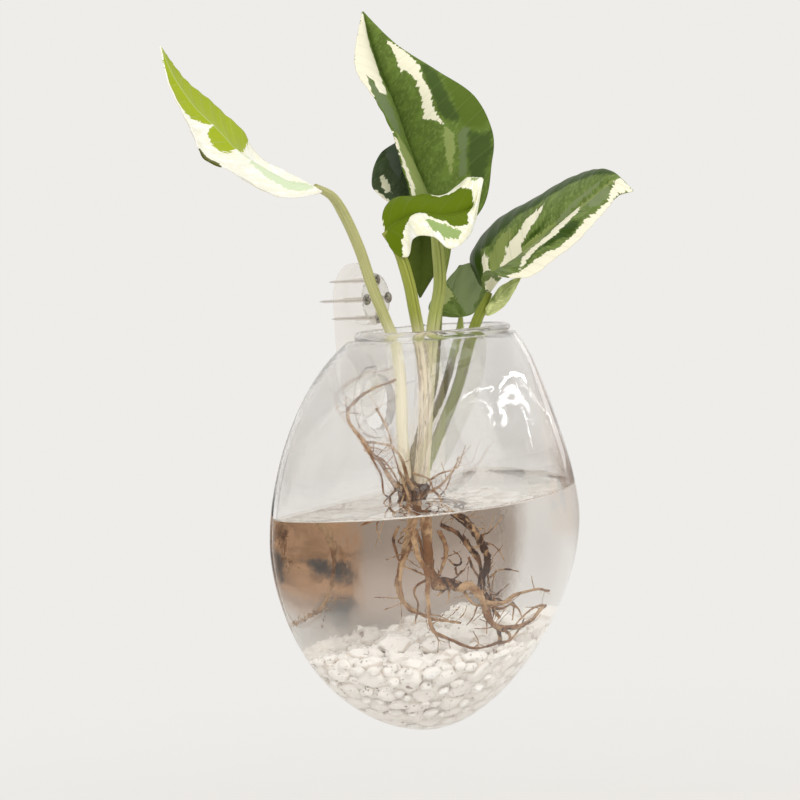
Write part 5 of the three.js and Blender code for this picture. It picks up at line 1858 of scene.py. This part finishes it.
class TERRARIUM_OT_stage(bpy.types.Operator):
    """Sets the camera, the soft lights, the pale floor and the backdrop"""

    bl_idname = "terrarium.stage"
    bl_label = "Stage"

    def execute(self, context):
        scene = context.scene
        stage = scene.terrarium_stage
        scene.view_settings.view_transform = "Standard"
        scene.camera = self.camera()
        scene.collection.objects.link(scene.camera)
        scene.world = self.world(stage)
        for i, (place, size, share, along) in enumerate(GLINTS):
            lamp(f"glint light {i + 1}", place, SHOULDER, size, stage.glint * share, along=along)
        lamp("key light", (-0.75, -0.75, 0.75), VASE_MIDDLE, (0.7, 0.7), stage.key, (1.0, 0.98, 0.95))
        lamp("fill light", (0.9, -0.8, 0.35), VASE_MIDDLE, (0.6, 0.8), stage.fill, (0.97, 0.98, 1.0))
        floor = bmesh.new()
        bmesh.ops.create_circle(floor, cap_ends=True, segments=96, radius=FLOOR_RADIUS)
        bmesh.ops.translate(floor, verts=floor.verts, vec=(0, 0, stage.floor_z))
        make_object("floor", floor, [self.floor_material(stage)])
        return {"FINISHED"}

    def camera(self):
        turn, lower, roll = (math.radians(angle) for angle in CAMERA_ANGLES)
        forward = Vector((math.sin(turn), math.cos(turn), 0))
        level_right = Vector((math.cos(turn), -math.sin(turn), 0))
        level_up = forward * math.sin(lower) + Vector((0, 0, math.cos(lower)))
        ahead = forward * math.cos(lower) - Vector((0, 0, math.sin(lower)))
        right = math.cos(roll) * level_right - math.sin(roll) * level_up
        up = math.sin(roll) * level_right + math.cos(roll) * level_up
        place = Vector(CAMERA_SPOT) - CAMERA_DISTANCE * ahead
        place += CAMERA_SHIFT[0] * right + CAMERA_SHIFT[1] * up
        camera = bpy.data.objects.new("camera", bpy.data.cameras.new("camera"))
        camera.data.sensor_width = 36.0
        camera.data.lens = CAMERA_LENS
        camera.data.clip_start = 0.01
        camera.matrix_world = Matrix.Translation(place) @ Matrix((right, up, -ahead)).transposed().to_4x4()
        return camera

    def world(self, stage):
        """Even light, and behind it what the camera, mirrors and clear pieces show."""
        graph = Graph(bpy.data.worlds.new("soft studio"), "ShaderNodeOutputWorld")
        camera_ray, mirrored, refracted = graph.rays("Camera", "Glossy", "Transmission")
        direction = graph.node("ShaderNodeTexCoord", output="Generated")
        around = self.surroundings(graph, direction, mirrored, stage)
        shown = graph.blend(camera_ray, around, stage.backdrop)
        backdrop = graph.node("ShaderNodeBackground", inputs={0: shown, 1: 1.0})
        even = graph.node("ShaderNodeBackground", inputs={0: (1.0, 0.985, 0.96, 1.0), 1: stage.ambient})
        direct = graph.step(camera_ray + mirrored + refracted, 0.0, 1.0)
        return graph.finish(graph.mix(direct, even, backdrop))

    def floor_material(self, stage):
        """A pale floor that keeps the shadow nearby and goes over into the backdrop further out."""
        graph = new_graph("pale floor")
        place = graph.object_place()
        x, y, _ = graph.split(place)
        reach = (x * x + y * y) ** 0.5
        grain = graph.noise(place, 30.0, 3.0, 0.6)
        tone = graph.blend(graph.step(grain, 0.3, 0.7) * 0.25, stage.backdrop, (0.8, 0.79, 0.77))
        near = graph.node("ShaderNodeBsdfDiffuse", inputs={0: tone})
        mirrored, refracted = graph.rays("Glossy", "Transmission")
        direction = graph.node("ShaderNodeVectorMath", {"operation": "NORMALIZE"}, {0: place})
        around = self.surroundings(graph, direction, mirrored, stage)
        shown = graph.blend(graph.step(mirrored + refracted, 0.0, 1.0), stage.backdrop, around)
        far = graph.node("ShaderNodeEmission", inputs={0: shown, 1: 1.0})
        return graph.finish(graph.mix(graph.step(reach, 0.25, 1.1), near, far))

    def surroundings(self, graph, direction, mirrored, stage):
        """What the glass shows: pale all round, dimmer to the sides in reflections, and at eye level a
        dim band with a warm patch that has dark spots."""
        x, y, z = graph.split(direction)
        turn = graph.math("ARCTAN2", y * -1.0, x)
        ahead = x * 0.83 + y * 0.55
        aside = graph.step(ahead, 0.72, 0.30) * graph.step(z, 0.75, 0.35) * mirrored
        pale = graph.blend(aside, stage.backdrop, stage.behind)
        band = graph.step(turn, -0.40, -0.18) * graph.step(turn, 1.3, 0.9)
        level = graph.step(z, 0.15, 0.0) * graph.step(z, -0.35, -0.2)
        dim = graph.blend(graph.step(z, -0.13, 0.06), stage.dusk, stage.dim)
        patch = graph.step(turn, 0.0, 0.15) * graph.step(turn, 0.59, 0.52)
        wisps = graph.noise(graph.join(turn * 0.5, z * 2.4, 0.3), 12.0, 3.0, 0.6)
        warm = graph.blend(graph.step(wisps, 0.35, 0.6), stage.brown, stage.warm)
        for middle_turn, middle_z, half_turn, half_z in DARK_SPOTS:
            across, high = (turn - middle_turn) / half_turn, (z - middle_z) / half_z
            spot = graph.step(across * across + high * high + (wisps - 0.5) * 2.2, 1.5, 0.3)
            warm = graph.blend(spot, warm, stage.dark)
        return graph.blend(band * level, pale, graph.blend(patch, dim, warm))


class TERRARIUM_PT_panel(bpy.types.Panel):
    bl_idname = "TERRARIUM_PT_panel"
    bl_label = "Terrarium"
    bl_space_type = "VIEW_3D"
    bl_region_type = "UI"
    bl_category = "Terrarium"

    def draw(self, context):
        for operator in OPERATORS:
            self.layout.operator(operator.bl_idname)


SETTINGS = {
    "terrarium_vase": VaseSettings,
    "terrarium_hook": HookSettings,
    "terrarium_water": WaterSettings,
    "terrarium_gravel": GravelSettings,
    "terrarium_leaf": LeafSettings,
    "terrarium_stem": StemSettings,
    "terrarium_stage": StageSettings,
}

OPERATORS = (
    TERRARIUM_OT_stage,
    TERRARIUM_OT_glass,
    TERRARIUM_OT_water,
    TERRARIUM_OT_gravel,
    TERRARIUM_OT_hook,
    TERRARIUM_OT_leaves,
    TERRARIUM_OT_stalks,
    TERRARIUM_OT_roots,
)


def register():
    for group in SETTINGS.values():
        bpy.utils.register_class(group)
    for name, group in SETTINGS.items():
        setattr(bpy.types.Scene, name, PointerProperty(type=group))
    for operator in OPERATORS:
        bpy.utils.register_class(operator)
    bpy.utils.register_class(TERRARIUM_PT_panel)


def unregister():
    bpy.utils.unregister_class(TERRARIUM_PT_panel)
    for operator in reversed(OPERATORS):
        bpy.utils.unregister_class(operator)
    for name, group in reversed(SETTINGS.items()):
        delattr(bpy.types.Scene, name)
        bpy.utils.unregister_class(group)


def main():
    register()
    for operator in OPERATORS:
        family, action = operator.bl_idname.split(".")
        getattr(getattr(bpy.ops, family), action)()


if __name__ == "__main__":
    main()
